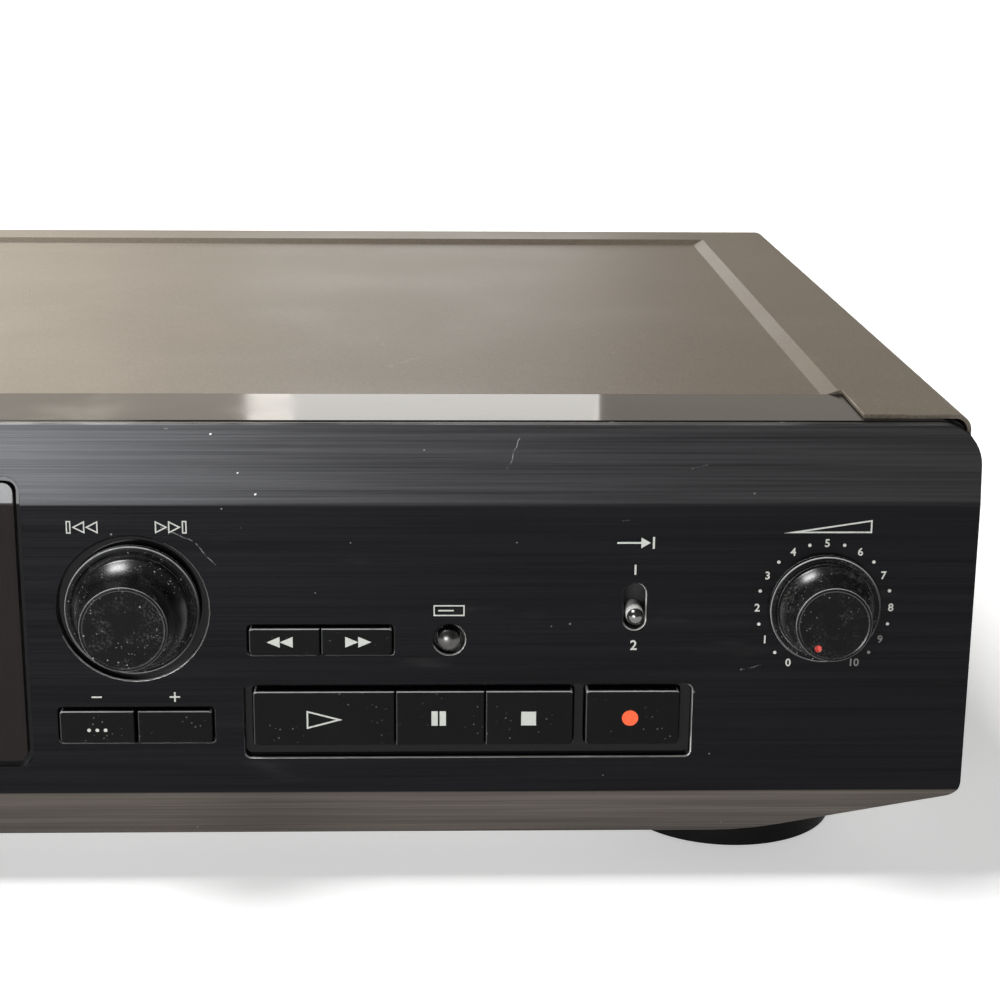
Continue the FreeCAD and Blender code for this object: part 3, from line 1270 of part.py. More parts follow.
def flat_cable():
    """The ribbon from under the disc drive to its connector on the main board."""
    x0 = DRIVE_X + CABLE_START
    x1 = MAIN_LEFT + CABLE_END
    top = FRAME_FLOOR
    sheet = CABLE_SHEET
    bend = CABLE_BEND
    low = BOARD_TOP + CABLE_SOCKET
    inner = bend - sheet
    share = 1 - math.sqrt(0.5)
    outside = ((x1 - bend * share, top - bend * share), (x1, top - bend))
    inside = ((x1 - sheet - inner * share, top - sheet - inner * share), (x1 - bend, top - sheet))
    upper = [(x0, top), (x1 - bend, top), outside, (x1, low)]
    lower = [(x1 - sheet, low), (x1 - sheet, top - bend), inside, (x0, top - sheet)]
    y0 = FRAME_Y + FRAME_DEPTH / 2 - CABLE_WIDTH / 2
    ribbon = along_y(upper + lower, y0, y0 + CABLE_WIDTH)
    rim = CABLE_SOCKET / 2
    socket = block(x1 - sheet - rim, x1 + rim, y0 - rim, y0 + CABLE_WIDTH + rim, BOARD_TOP, low)
    return group(ribbon, socket)


# ---------------------------------------------------------------- disc drive: places
FRAME_Y = Y_FACE + FRAME_FRONT
FRAME_RIGHT = SLED_OUT + ARM_BRACKET + SLED_TRAVEL + SLED_ROOM + FRAME_SHEET
HOLDER_DEPTH = DISC_CASE_DEPTH + HOLDER_RELIEF + HOLDER_SHEET
FLOOR_TOP = FRAME_FLOOR + FRAME_SHEET
HOLDER_Y = Y_FACE + HOLDER_FRONT
AXIS_Y = HOLDER_Y + AXIS_DEPTH
HOLDER_IN = DISC_CASE_HALF + HOLDER_SLACK
HOLDER_HALF = HOLDER_IN + HOLDER_SHEET
HOLDER_LOW = SLOT_Z - (DISC_CASE_HEIGHT + HOLDER_HEADROOM) / 2
HOLDER_TOP = SLOT_Z + (DISC_CASE_HEIGHT + HOLDER_HEADROOM) / 2
LEFT_WALL = DRIVE_X - HOLDER_HALF - FRAME_CLEAR          # inner face of the frame's left wall
RIGHT_WALL = DRIVE_X + FRAME_RIGHT - FRAME_SHEET
SLIDER_IN = LEFT_WALL - FRAME_SHEET - SLIDER_GAP
SLIDER_OUT = SLIDER_IN - SLIDER_SHEET
EAR_X = DRIVE_X + HOLDER_HALF + FRAME_CLEAR
GEAR_RADIUS = MODULE * GEAR_TEETH / 2
PINION_RADIUS = MODULE * PINION_TEETH / 2
PITCH = math.pi * MODULE
LOADER_PITCH_X = SLIDER_OUT - RACK_BODY - DEDENDUM * MODULE
LOADER_X = LOADER_PITCH_X - GEAR_RADIUS
LOADER_GEAR_Y = FRAME_Y + FRAME_DEPTH - LOADER_Y
PINION_X = LOADER_X - GEAR_RADIUS - PINION_RADIUS
SLED_PITCH_Y = AXIS_Y + SLED_HALF + RACK_BODY + DEDENDUM * MODULE
SLED_GEAR_Y = SLED_PITCH_Y + GEAR_RADIUS
SLED_AXIS_X = DRIVE_X + SLED_GEAR_X
ROD_Z = SLED_LOW + SLED_HEIGHT / 2
ARM_X = DRIVE_X + SLED_OUT + ARM_BRACKET / 2


# ---------------------------------------------------------------- gears and racks
def gear(x, y, z, teeth, bore, turn):
    """A spur gear on an axis along Z, with a tooth at turn degrees from +X."""
    pitch_radius = MODULE * teeth / 2
    rings = [(pitch_radius - DEDENDUM * MODULE, ROOT_SHARE), (pitch_radius, PITCH_SHARE)]
    rings.append((pitch_radius + ADDENDUM * MODULE, TIP_SHARE))
    step = 2 * math.pi / teeth
    points = []
    for tooth in range(teeth):
        middle = math.radians(turn) + tooth * step
        flank = [(radius, middle - share * step / 2) for radius, share in rings]
        flank += [(radius, middle + share * step / 2) for radius, share in rings[::-1]]
        points += [(x + radius * math.cos(angle), y + radius * math.sin(angle)) for radius, angle in flank]
    return cut(along_z(points, z, z + GEAR_WIDTH), post(bore, x, y, z - PAST, z + GEAR_WIDTH + PAST))


def rack_outline(start, end, gap, base, root, way):
    """A rack's outline as (along, across) points: its teeth point way, and a gap lies at a given place."""
    first = math.ceil((start - gap) / PITCH)
    last = math.floor((end - gap) / PITCH)
    tip = root + way * (DEDENDUM + ADDENDUM) * MODULE
    middle = root + way * DEDENDUM * MODULE
    points = [(start, base), (start, root)]
    for tooth in range(first, last):
        centre = gap + (tooth + 0.5) * PITCH
        sides = ((ROOT_SHARE, root), (PITCH_SHARE, middle), (TIP_SHARE, tip))
        points += [(centre - share * PITCH / 2, level) for share, level in sides]
        points += [(centre + share * PITCH / 2, level) for share, level in sides[::-1]]
    return points + [(end, root), (end, base)]


def motor(x, y, top, radius, length, shaft_end):
    """A round motor hung or stood on its end, with its shaft upwards."""
    return fuse(post(radius, x, y, top - length, top), post(MOTOR_SHAFT, x, y, top, shaft_end))


# ---------------------------------------------------------------- disc drive: pieces
def left_pins():
    """The depths of the holder's left pins."""
    return (HOLDER_Y + FRONT_PIN, HOLDER_Y + REAR_PIN)


def right_pins():
    """The depths of the holder's right pins."""
    return (HOLDER_Y + EAR_FRONT_PIN, HOLDER_Y + EAR_REAR_PIN)


def upright_slot(y, x0, x1):
    """The slot in which a holder's pin goes down."""
    radius = GUIDE_PIN + GUIDE_FIT
    return slanted_slot(y, SLOT_Z - HOLDER_DROP, y, SLOT_Z, radius, min(x0, x1), max(x0, x1))


def drive_frame():
    """The folded steel frame of the drive: floor, two walls, two ears and four legs."""
    left = DRIVE_X - FRAME_LEFT
    right = DRIVE_X + FRAME_RIGHT
    back = FRAME_Y + FRAME_DEPTH
    floor = block(left, right, FRAME_Y, back, FRAME_FLOOR, FLOOR_TOP)
    left_wall = block(LEFT_WALL - FRAME_SHEET, LEFT_WALL, FRAME_Y, back, FRAME_FLOOR, FRAME_TOP)
    right_wall = block(RIGHT_WALL, right, FRAME_Y, back, FRAME_FLOOR, FRAME_TOP)
    ears = [block(EAR_X, EAR_X + FRAME_SHEET, y - EAR_WIDTH / 2, y + EAR_WIDTH / 2, FRAME_FLOOR, FRAME_TOP)
            for y in right_pins()]
    legs = []
    for x in leg_sides():
        for y in leg_depths():
            legs.append(block(x, x + FRAME_SHEET, y, y + FRAME_LEG, PAN_TOP, FLOOR_TOP))
            legs.append(block(x - FRAME_FOOT, x + FRAME_SHEET, y, y + FRAME_LEG,
                              PAN_TOP, PAN_TOP + FRAME_SHEET))
    start = DRIVE_X + ROD_START
    posts = [block(start, start + ROD_POST, y - ROD_POST_HALF, y + ROD_POST_HALF,
                   FRAME_FLOOR, ROD_Z + ROD_POST_HALF) for y in rod_depths()]
    pin = post(GEAR_POST, LOADER_X, LOADER_GEAR_Y, FRAME_FLOOR, SLIDER_LOW + GEAR_WIDTH + PAST)
    body = fuse(floor, left_wall, right_wall, *ears, *legs, *posts, pin)
    holes = [upright_slot(y, LEFT_WALL - FRAME_SHEET - PAST, LEFT_WALL + PAST) for y in left_pins()]
    holes += [upright_slot(y, EAR_X - PAST, EAR_X + FRAME_SHEET + PAST) for y in right_pins()]
    holes += [post(SCREW_HOLE, x, y, 0, PAN_TOP + FRAME_SHEET + PAST) for x, y in drive_feet()]
    holes += [rod(ROD_RADIUS, (start, y, ROD_Z), (right, y, ROD_Z)) for y in rod_depths()]
    holes.append(post(MOTOR_SHAFT + FIT_GAP, PINION_X, LOADER_GEAR_Y, FRAME_FLOOR - PAST, FLOOR_TOP + PAST))
    return cut(body, *holes)


def rod_depths():
    """The depths of the two guide rods."""
    return (AXIS_Y - ROD_SPREAD, AXIS_Y + ROD_SPREAD)


def guide_rods():
    """The two rods on which the pickup sled slides."""
    return group(*[rod(ROD_RADIUS, (DRIVE_X + ROD_START, y, ROD_Z), (DRIVE_X + FRAME_RIGHT, y, ROD_Z))
                   for y in rod_depths()])


def disc_holder():
    """The folded holder that a disc's case slides into, open in front and below, on four pins."""
    back = HOLDER_Y + HOLDER_DEPTH
    outer = block(DRIVE_X - HOLDER_HALF, DRIVE_X + HOLDER_HALF, HOLDER_Y, back, HOLDER_LOW - HOLDER_SHEET,
                  HOLDER_TOP + HOLDER_SHEET)
    front = HOLDER_Y - PAST
    under = HOLDER_LOW - HOLDER_SHEET - PAST
    inner = block(DRIVE_X - HOLDER_IN, DRIVE_X + HOLDER_IN, front, back + PAST, HOLDER_LOW, HOLDER_TOP)
    lip = HOLDER_IN - HOLDER_LIP
    below = block(DRIVE_X - lip, DRIVE_X + lip, front, back + PAST, under, SLOT_Z)
    window = block(DRIVE_X + HOLDER_WINDOW_IN, DRIVE_X + HOLDER_WINDOW_OUT, AXIS_Y - HOLDER_WINDOW_HALF,
                   AXIS_Y + HOLDER_WINDOW_HALF, SLOT_Z, HOLDER_TOP + HOLDER_SHEET + PAST)
    lens = LENS_RADIUS + LENS_GAP
    reach = DRIVE_X + LENS_X + SLED_TRAVEL + lens
    notch = block(DRIVE_X, reach, AXIS_Y - lens, AXIS_Y + lens, under, SLOT_Z)
    stop = block(DRIVE_X - HOLDER_STOP_HALF, DRIVE_X + HOLDER_STOP_HALF, back - HOLDER_SHEET, back,
                 HOLDER_LOW, HOLDER_TOP + HOLDER_SHEET)
    pins = [rod(GUIDE_PIN, (DRIVE_X - HOLDER_IN, y, SLOT_Z), (SLIDER_OUT, y, SLOT_Z)) for y in left_pins()]
    pins += [rod(GUIDE_PIN, (DRIVE_X + HOLDER_IN, y, SLOT_Z), (EAR_X + FRAME_SHEET, y, SLOT_Z))
             for y in right_pins()]
    return fuse(cut(outer, inner, below, window, notch), stop, *pins)


def loading_slider():
    """The toothed slider beside the frame: its sloped slots lower the holder."""
    front, rear = left_pins()
    low_end = front - SLIDER_TRAVEL - GUIDE_PIN - SLIDER_SHEET
    plate = block(SLIDER_OUT, SLIDER_IN, low_end, rear + GUIDE_PIN + SLIDER_SHEET * 3, SLIDER_LOW, SLIDER_TOP)
    root = LOADER_PITCH_X + DEDENDUM * MODULE
    rack_start = LOADER_GEAR_Y - SLIDER_TRAVEL - 2 * PITCH
    teeth = rack_outline(rack_start, LOADER_GEAR_Y + 2 * PITCH, LOADER_GEAR_Y, SLIDER_IN, root, -1)
    rack = along_z([(across, along) for along, across in teeth], SLIDER_LOW, SLIDER_LOW + SLIDER_RACK)
    radius = GUIDE_PIN + GUIDE_FIT
    slots = [slanted_slot(y, SLOT_Z, y - SLIDER_TRAVEL, SLOT_Z - HOLDER_DROP, radius,
                          SLIDER_OUT - PAST, SLIDER_IN + PAST) for y in (front, rear)]
    return cut(fuse(plate, rack), *slots)


def loading_motor():
    """The loading motor, hung under the frame's floor."""
    return motor(PINION_X, LOADER_GEAR_Y, FRAME_FLOOR, MOTOR_RADIUS, MOTOR_LENGTH, SLIDER_LOW + GEAR_WIDTH)


def spindle_motor():
    """The flat motor that turns the disc."""
    height = SPINDLE_TOP - FLOOR_TOP
    return motor(DRIVE_X, AXIS_Y, SPINDLE_TOP, SPINDLE_RADIUS, height, SPINDLE_TOP + TURNTABLE_LIFT)


def turntable():
    """The turntable with its centring hub."""
    low = SPINDLE_TOP + TURNTABLE_LIFT
    top = low + TURNTABLE_SHEET
    crown = top + TURNTABLE_HUB_RISE
    hub = TURNTABLE_HUB
    return turned_upright(DRIVE_X, AXIS_Y, (0.0, low), (TURNTABLE_RADIUS, low), (TURNTABLE_RADIUS, top),
                          (hub, top), (hub, crown - TURNTABLE_CHAMFER), (hub - TURNTABLE_CHAMFER, crown),
                          (0.0, crown))


def pickup_sled():
    """The pickup: sled, lens, rack along its back and the bracket of the head arm."""
    inner = DRIVE_X + SLED_IN
    outer = DRIVE_X + SLED_OUT
    top = SLED_LOW + SLED_HEIGHT
    base = block(inner, outer, AXIS_Y - SLED_HALF, AXIS_Y + SLED_HALF, SLED_LOW, top)
    lens = post(LENS_RADIUS, DRIVE_X + LENS_X, AXIS_Y, top, top + LENS_RISE)
    root = SLED_PITCH_Y - DEDENDUM * MODULE
    start = SLED_AXIS_X - SLED_TRAVEL - RACK_MARGIN
    end = SLED_AXIS_X + RACK_MARGIN
    teeth = rack_outline(start, end, SLED_AXIS_X, AXIS_Y + SLED_HALF, root, 1)
    rack = along_z(teeth, RACK_LOW, RACK_LOW + SLIDER_RACK)
    bracket = block(outer, outer + ARM_BRACKET, AXIS_Y - ARM_HALF, AXIS_Y + ARM_HALF,
                    SLED_LOW, ARM_BRACKET_TOP)
    ears = []
    for side in SIDES:
        y0, y1 = sorted((AXIS_Y + side * ARM_HALF, AXIS_Y + side * (ARM_HALF - ARM_EAR)))
        ears.append(block(outer, outer + ARM_BRACKET, y0, y1, ARM_BRACKET_TOP, ARM_PIVOT_Z + ARM_BARREL))
    body = fuse(base, lens, rack, bracket, *ears)
    far = outer + ARM_BRACKET + PAST
    holes = [rod(ROD_RADIUS + PIN_FIT, (inner - PAST, y, ROD_Z), (far, y, ROD_Z)) for y in rod_depths()]
    reach = ARM_HALF + PAST
    holes.append(bar_y(ARM_PIN + PIN_FIT, ARM_X, ARM_PIVOT_Z, AXIS_Y - reach, AXIS_Y + reach))
    return cut(body, *holes)


def head_arm():
    """The recording head's arm, on a pin across the sled's bracket."""
    half = ARM_HALF - ARM_EAR - FIT_GAP
    barrel = bar_y(ARM_BARREL, ARM_X, ARM_PIVOT_Z, AXIS_Y - half, AXIS_Y + half)
    pin = bar_y(ARM_PIN, ARM_X, ARM_PIVOT_Z, AXIS_Y - ARM_HALF, AXIS_Y + ARM_HALF)
    tip = DRIVE_X + ARM_TIP - HEAD_SIDE / 2
    beam = block(tip, ARM_X, AXIS_Y - ARM_BEAM_HALF, AXIS_Y + ARM_BEAM_HALF,
                 ARM_PIVOT_Z, ARM_PIVOT_Z + ARM_SHEET)
    side = HEAD_SIDE / 2
    head = block(tip, tip + HEAD_SIDE, AXIS_Y - side, AXIS_Y + side, HEAD_BOTTOM, ARM_PIVOT_Z)
    return fuse(barrel, pin, beam, head)


def sled_motor():
    """The geared motor that drives the sled's rack."""
    top = RACK_LOW - FIT_GAP
    return motor(SLED_AXIS_X, SLED_GEAR_Y, top, GEARMOTOR_RADIUS, top - FLOOR_TOP, RACK_LOW + GEAR_WIDTH)


# ---------------------------------------------------------------- every node
def nodes():
    """Every piece by its node's name."""
    pieces = {
        "top_cover": top_cover(),
        "cover_screws": cover_screws(),
        "chassis_pan": chassis_pan(),
        "chassis_screws": chassis_screws(),
        "rear_panel": rear_panel(),
        "foot_pads": foot_pads(),
        "front_bezel": front_bezel(),
        "face_plate": face_plate(),
        "display_window": display_window(),
        "disc_flap": disc_flap(),
        "display_tube": display_tube(),
        "front_board": front_board(),
        "tact_switches": tact_switches(),
        "display_key": display_key(),
        "power_button": power_button(),
        "power_switch": power_switch(),
        "standby_light": standby_light(),
        "slide_switches": slide_switches(),
        "input_lever": lever(LEVER_SLOT_X, INPUT_LEVER_Z, True),
        "timer_lever": lever(TIMER_X, TIMER_Z, False),
        "jog_encoder": jog_encoder(),
        "encoder_rotor": encoder_rotor(),
        "jog_shaft": shaft(JOG_X, JOG_Z, JOG_BACK, BOARD_Y - FIT_GAP - JOG_TRAVEL),
        "jog_knob": knob(JOG_X, JOG_Z, KNOB_REACH, JOG_TIP, JOG_BODY, JOG_SHOULDER, JOG_FLANGE,
                         JOG_FLANGE_FRONT, JOG_BACK),
        "level_pot": level_pot(),
        "level_shaft": shaft(LEVEL_X, LEVEL_Z, LEVEL_BACK, BOARD_Y - POT_FLOOR - FIT_GAP),
        "level_knob": level_knob(),
        "line_jacks": line_jacks(),
        "optical_ports": optical_ports(),
        "mains_inlet": mains_inlet(),
        "main_board": main_board(),
        "board_components": board_components(),
        "mains_transformer": mains_transformer(),
        "flat_cable": flat_cable(),
        "drive_frame": drive_frame(),
        "guide_rods": guide_rods(),
        "disc_holder": disc_holder(),
        "loading_slider": loading_slider(),
        "loading_motor": loading_motor(),
        "loading_gear": gear(LOADER_X, LOADER_GEAR_Y, SLIDER_LOW, GEAR_TEETH, GEAR_POST + PIN_FIT, 0.0),
        "motor_pinion": gear(PINION_X, LOADER_GEAR_Y, SLIDER_LOW, PINION_TEETH, MOTOR_SHAFT + PIN_FIT,
                             180.0 / PINION_TEETH),
        "spindle_motor": spindle_motor(),
        "turntable": turntable(),
        "pickup_sled": pickup_sled(),
        "head_arm": head_arm(),
        "sled_motor": sled_motor(),
        "sled_gear": gear(SLED_AXIS_X, SLED_GEAR_Y, RACK_LOW, GEAR_TEETH, MOTOR_SHAFT + PIN_FIT, 90.0),
    }
    for name in key_spans():
        pieces[name] = key(name)
    for name, (x, y) in foot_places().items():
        pieces[name] = foot(x, y)
    return pieces


def main():
    """Write one STEP file for each node."""
    os.makedirs("parts", exist_ok=True)
    for name, shape in nodes().items():
        shape.exportStep(os.path.join("parts", name + ".step"))
        print(name, len(shape.Solids), round(shape.Volume, 1), shape.isValid())


main()
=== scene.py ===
"""A full-width minidisc deck, dressed for a product picture around its CAD frame.

The CAD nodes keep their shapes and get their finishes here. Knobs, levers, the window pane, the
line jacks and all printed marks are modelled as meshes of their own. Lengths are in metres, except
where a comment says mm.
"""
import json
from math import atan, cos, pi, radians, sin, tau

import bmesh
import bpy
from bpy.props import FloatProperty, FloatVectorProperty, PointerProperty
from mathutils import Matrix, Vector


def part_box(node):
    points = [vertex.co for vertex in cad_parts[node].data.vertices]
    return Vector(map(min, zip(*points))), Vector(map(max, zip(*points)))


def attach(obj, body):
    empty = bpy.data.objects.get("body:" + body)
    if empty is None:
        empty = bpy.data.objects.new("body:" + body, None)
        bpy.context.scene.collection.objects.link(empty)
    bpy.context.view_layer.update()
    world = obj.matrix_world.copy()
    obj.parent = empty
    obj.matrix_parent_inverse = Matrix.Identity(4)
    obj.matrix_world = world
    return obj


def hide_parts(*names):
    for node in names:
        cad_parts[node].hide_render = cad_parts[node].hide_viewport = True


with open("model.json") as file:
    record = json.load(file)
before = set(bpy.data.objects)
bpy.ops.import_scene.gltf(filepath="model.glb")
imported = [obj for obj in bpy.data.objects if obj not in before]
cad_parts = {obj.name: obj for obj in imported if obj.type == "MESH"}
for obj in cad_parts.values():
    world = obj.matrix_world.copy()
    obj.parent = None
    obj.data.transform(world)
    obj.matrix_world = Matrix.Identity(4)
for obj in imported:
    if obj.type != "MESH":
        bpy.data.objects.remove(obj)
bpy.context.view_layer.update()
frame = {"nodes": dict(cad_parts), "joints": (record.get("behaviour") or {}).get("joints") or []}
NODES = frame["nodes"]
JOINTS = {joint["name"]: joint for joint in frame["joints"]}

bl_info = {
    "name": "Minidisc deck",
    "version": (1, 0, 0),
    "blender": (4, 5, 0),
    "location": "3D View > Sidebar > Deck",
    "description": "Dresses a full-width minidisc deck around its CAD frame",
    "category": "Object",
}

MM = 0.001
UPRIGHT = Matrix.Rotation(radians(90), 4, "X")      # turns what lies flat to the front


def low(node):
    """The lowest corner of a CAD node."""
    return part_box(node)[0]


def high(node):
    """The highest corner of a CAD node."""
    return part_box(node)[1]


def middle(node):
    """The middle of a CAD node's box."""
    return (low(node) + high(node)) / 2


def pivot(joint):
    """A point on a joint's axis."""
    return Vector(JOINTS[joint]["pos_m"])


FACE = low("face_plate").y
BACK = high("rear_panel").y
FACE_BEND = 78.4 * MM        # above it the face leans back
LIP_TOP = 19.75 * MM         # below it the lip slants under
FACE_LEAN = 1.9 / 15.6       # the leaning part's run back over its rise
SLOT_Z = 69.5 * MM           # the middle of the disc slot


# ---- settings
def colour(name, default, description):
    """A colour setting, in linear values."""
    return FloatVectorProperty(name=name, description=description, default=default, size=3,
                               subtype="COLOR", min=0.0, max=1.0)


def length(name, default, description):
    """A length setting, in metres."""
    return FloatProperty(name=name, description=description, default=default, min=0.0,
                         subtype="DISTANCE", unit="LENGTH", precision=5)


def share(name, default, description):
    """A setting from 0 to 1."""
    return FloatProperty(name=name, description=description, default=default, min=0.0, max=1.0,
                         subtype="FACTOR")


def degrees(name, default, description):
    """An angle setting, given in degrees."""
    return FloatProperty(name=name, description=description, default=radians(default),
                         subtype="ANGLE")


class DeckColours(bpy.types.PropertyGroup):
    """The colours of the deck's finishes."""
    cover: colour("Cover paint", (0.088, 0.069, 0.049), "Satin paint of the steel cover")
    face: colour("Face", (0.0085, 0.0085, 0.0098), "Black anodised face plate")
    face_upper: colour("Leaning band", (0.042, 0.042, 0.044), "Face plate where it leans back")
    # painted reflection: the lip's pale brown-grey stands in for a table mirrored in the slanted
    # black metal
    lip: colour("Lip", (0.13, 0.112, 0.098), "Brushed lip under the face")
    # also the colour of the painted highlights on the face's rims and top edge
    bare_metal_and_highlight: colour("Bare metal", (0.62, 0.61, 0.59), "Metal where its finish has worn off")
    moulding: colour("Moulding", (0.004, 0.004, 0.0045), "Glossy black front moulding")
    window: colour("Window", (0.0075, 0.0045, 0.004), "Smoked display window")
    key: colour("Keys", (0.0034, 0.0034, 0.0037), "Moulded keys")
    knob: colour("Knobs", (0.0030, 0.0030, 0.0034), "Moulded knobs")
    print_pale: colour("Print", (0.50, 0.51, 0.47), "Screen print on the face and the keys")
    record: colour("Record mark", (0.85, 0.115, 0.035), "Orange-red dot of the record key")
    light: colour("Light", (0.32, 0.012, 0.008), "The standby light on the face")


class DeckSizes(bpy.types.PropertyGroup):
    """The sizes of what is modelled here."""
    print_stroke: length("Print stroke", 0.32 * MM, "Width of the outlined symbols' lines")
    print_height: length("Print height", 0.02 * MM, "How far the print stands off its surface")
    digit_height: length("Digit height", 1.58 * MM, "Height of the dial's digits")
    digit_weight: share("Digit weight", 0.017,
                        "How far the digits' outline is moved out, in font heights")
    dial_radius: length("Dial radius", 13.0 * MM, "Radius of the dial's ring of dots and digits")
    dial_dot: length("Dial dot", 0.33 * MM, "Radius of a dot on the dial")
    knob_rim: length("Knob rim", 0.32 * MM, "Rounding round a knob's front")
    knob_dish: length("Knob dish", 0.12 * MM, "How far a knob's front is sunk inside its rim")
    knob_neck: length("Knob neck", 3.6 * MM, "A knob's flare starts this far behind its front")
    knob_shoulder: length("Knob shoulder", 1.0 * MM, "Radius between a knob's flare and its body")
    level_dot: length("Level dot", 0.68 * MM, "Radius of the red dot on the level knob")
    window_rim: length("Window rim", 0.6 * MM, "Rounding round the window's front")
    ball: length("Lever ball", 1.72 * MM, "Radius of a lever's round end")
    waist: length("Lever waist", 1.66 * MM, "Radius of a lever behind its round end")


class DeckWear(bpy.types.PropertyGroup):
    """How used the deck looks."""
    nicks: share("Nicks", 0.5, "Bright nicks in the face and along its edges")
    dust: share("Dust", 0.5, "Pale specks on the cover, the window, the knobs and the keys")
    scratches: share("Scratches", 0.5, "Fine scratches on the cover and the moulding")


class DeckStage(bpy.types.PropertyGroup):
    """Where the camera stands, and how wide the floor is."""
    pitch: degrees("Pitch", 15.275, "The camera looks down by this angle")
    yaw: degrees("Yaw", 1.763, "The camera turns right by this angle")
    roll: degrees("Roll", -0.45, "The camera rolls by this angle")
    place: FloatVectorProperty(
        name="Place", description="The camera's place, from the middle of the face's foot",
        default=(0.111582, -0.369433, 0.180431), size=3, subtype="TRANSLATION")
    focal: FloatProperty(name="Focal length", description="In widths of the picture",
                         default=2.017456)
    floor: length("Floor", 14.0, "Half the side of the floor")


def settings():
    """The scene's settings of the deck."""
    scene = bpy.context.scene
    return scene.deck_colours, scene.deck_sizes, scene.deck_wear, scene.deck_stage


# ---- shader expressions
def math_method(operation, reflected=False):
    """A method that adds a Math node, for one of Python's operators."""
    def method(self, other):
        return self.math(operation, *((other, self) if reflected else (self, other)))
    return method


class Value:
    """A shader socket that takes part in Python expressions."""

    def __init__(self, finish, socket):
        self.finish = finish
        self.socket = socket

    def math(self, operation, first, second):
        return self.finish.node("Math", {"operation": operation}, {0: first, 1: second})

    __add__, __radd__ = math_method("ADD"), math_method("ADD", reflected=True)
    __sub__, __rsub__ = math_method("SUBTRACT"), math_method("SUBTRACT", reflected=True)
    __mul__, __rmul__ = math_method("MULTIPLY"), math_method("MULTIPLY", reflected=True)
    __gt__, __lt__ = math_method("GREATER_THAN"), math_method("LESS_THAN")

    def either(self, other):
        """The larger of two values."""
        return self.math("MAXIMUM", self, other)

    def rise(self, start, end):
        """0 before start, 1 after end, and smooth between; start may be the larger."""
        return self.finish.node("MapRange", {"interpolation_type": "SMOOTHSTEP"},
                                {"Value": self, "From Min": start, "From Max": end})

    def between(self, bottom, top):
        """0 to 1 made bottom to top."""
        return self * (top - bottom) + bottom


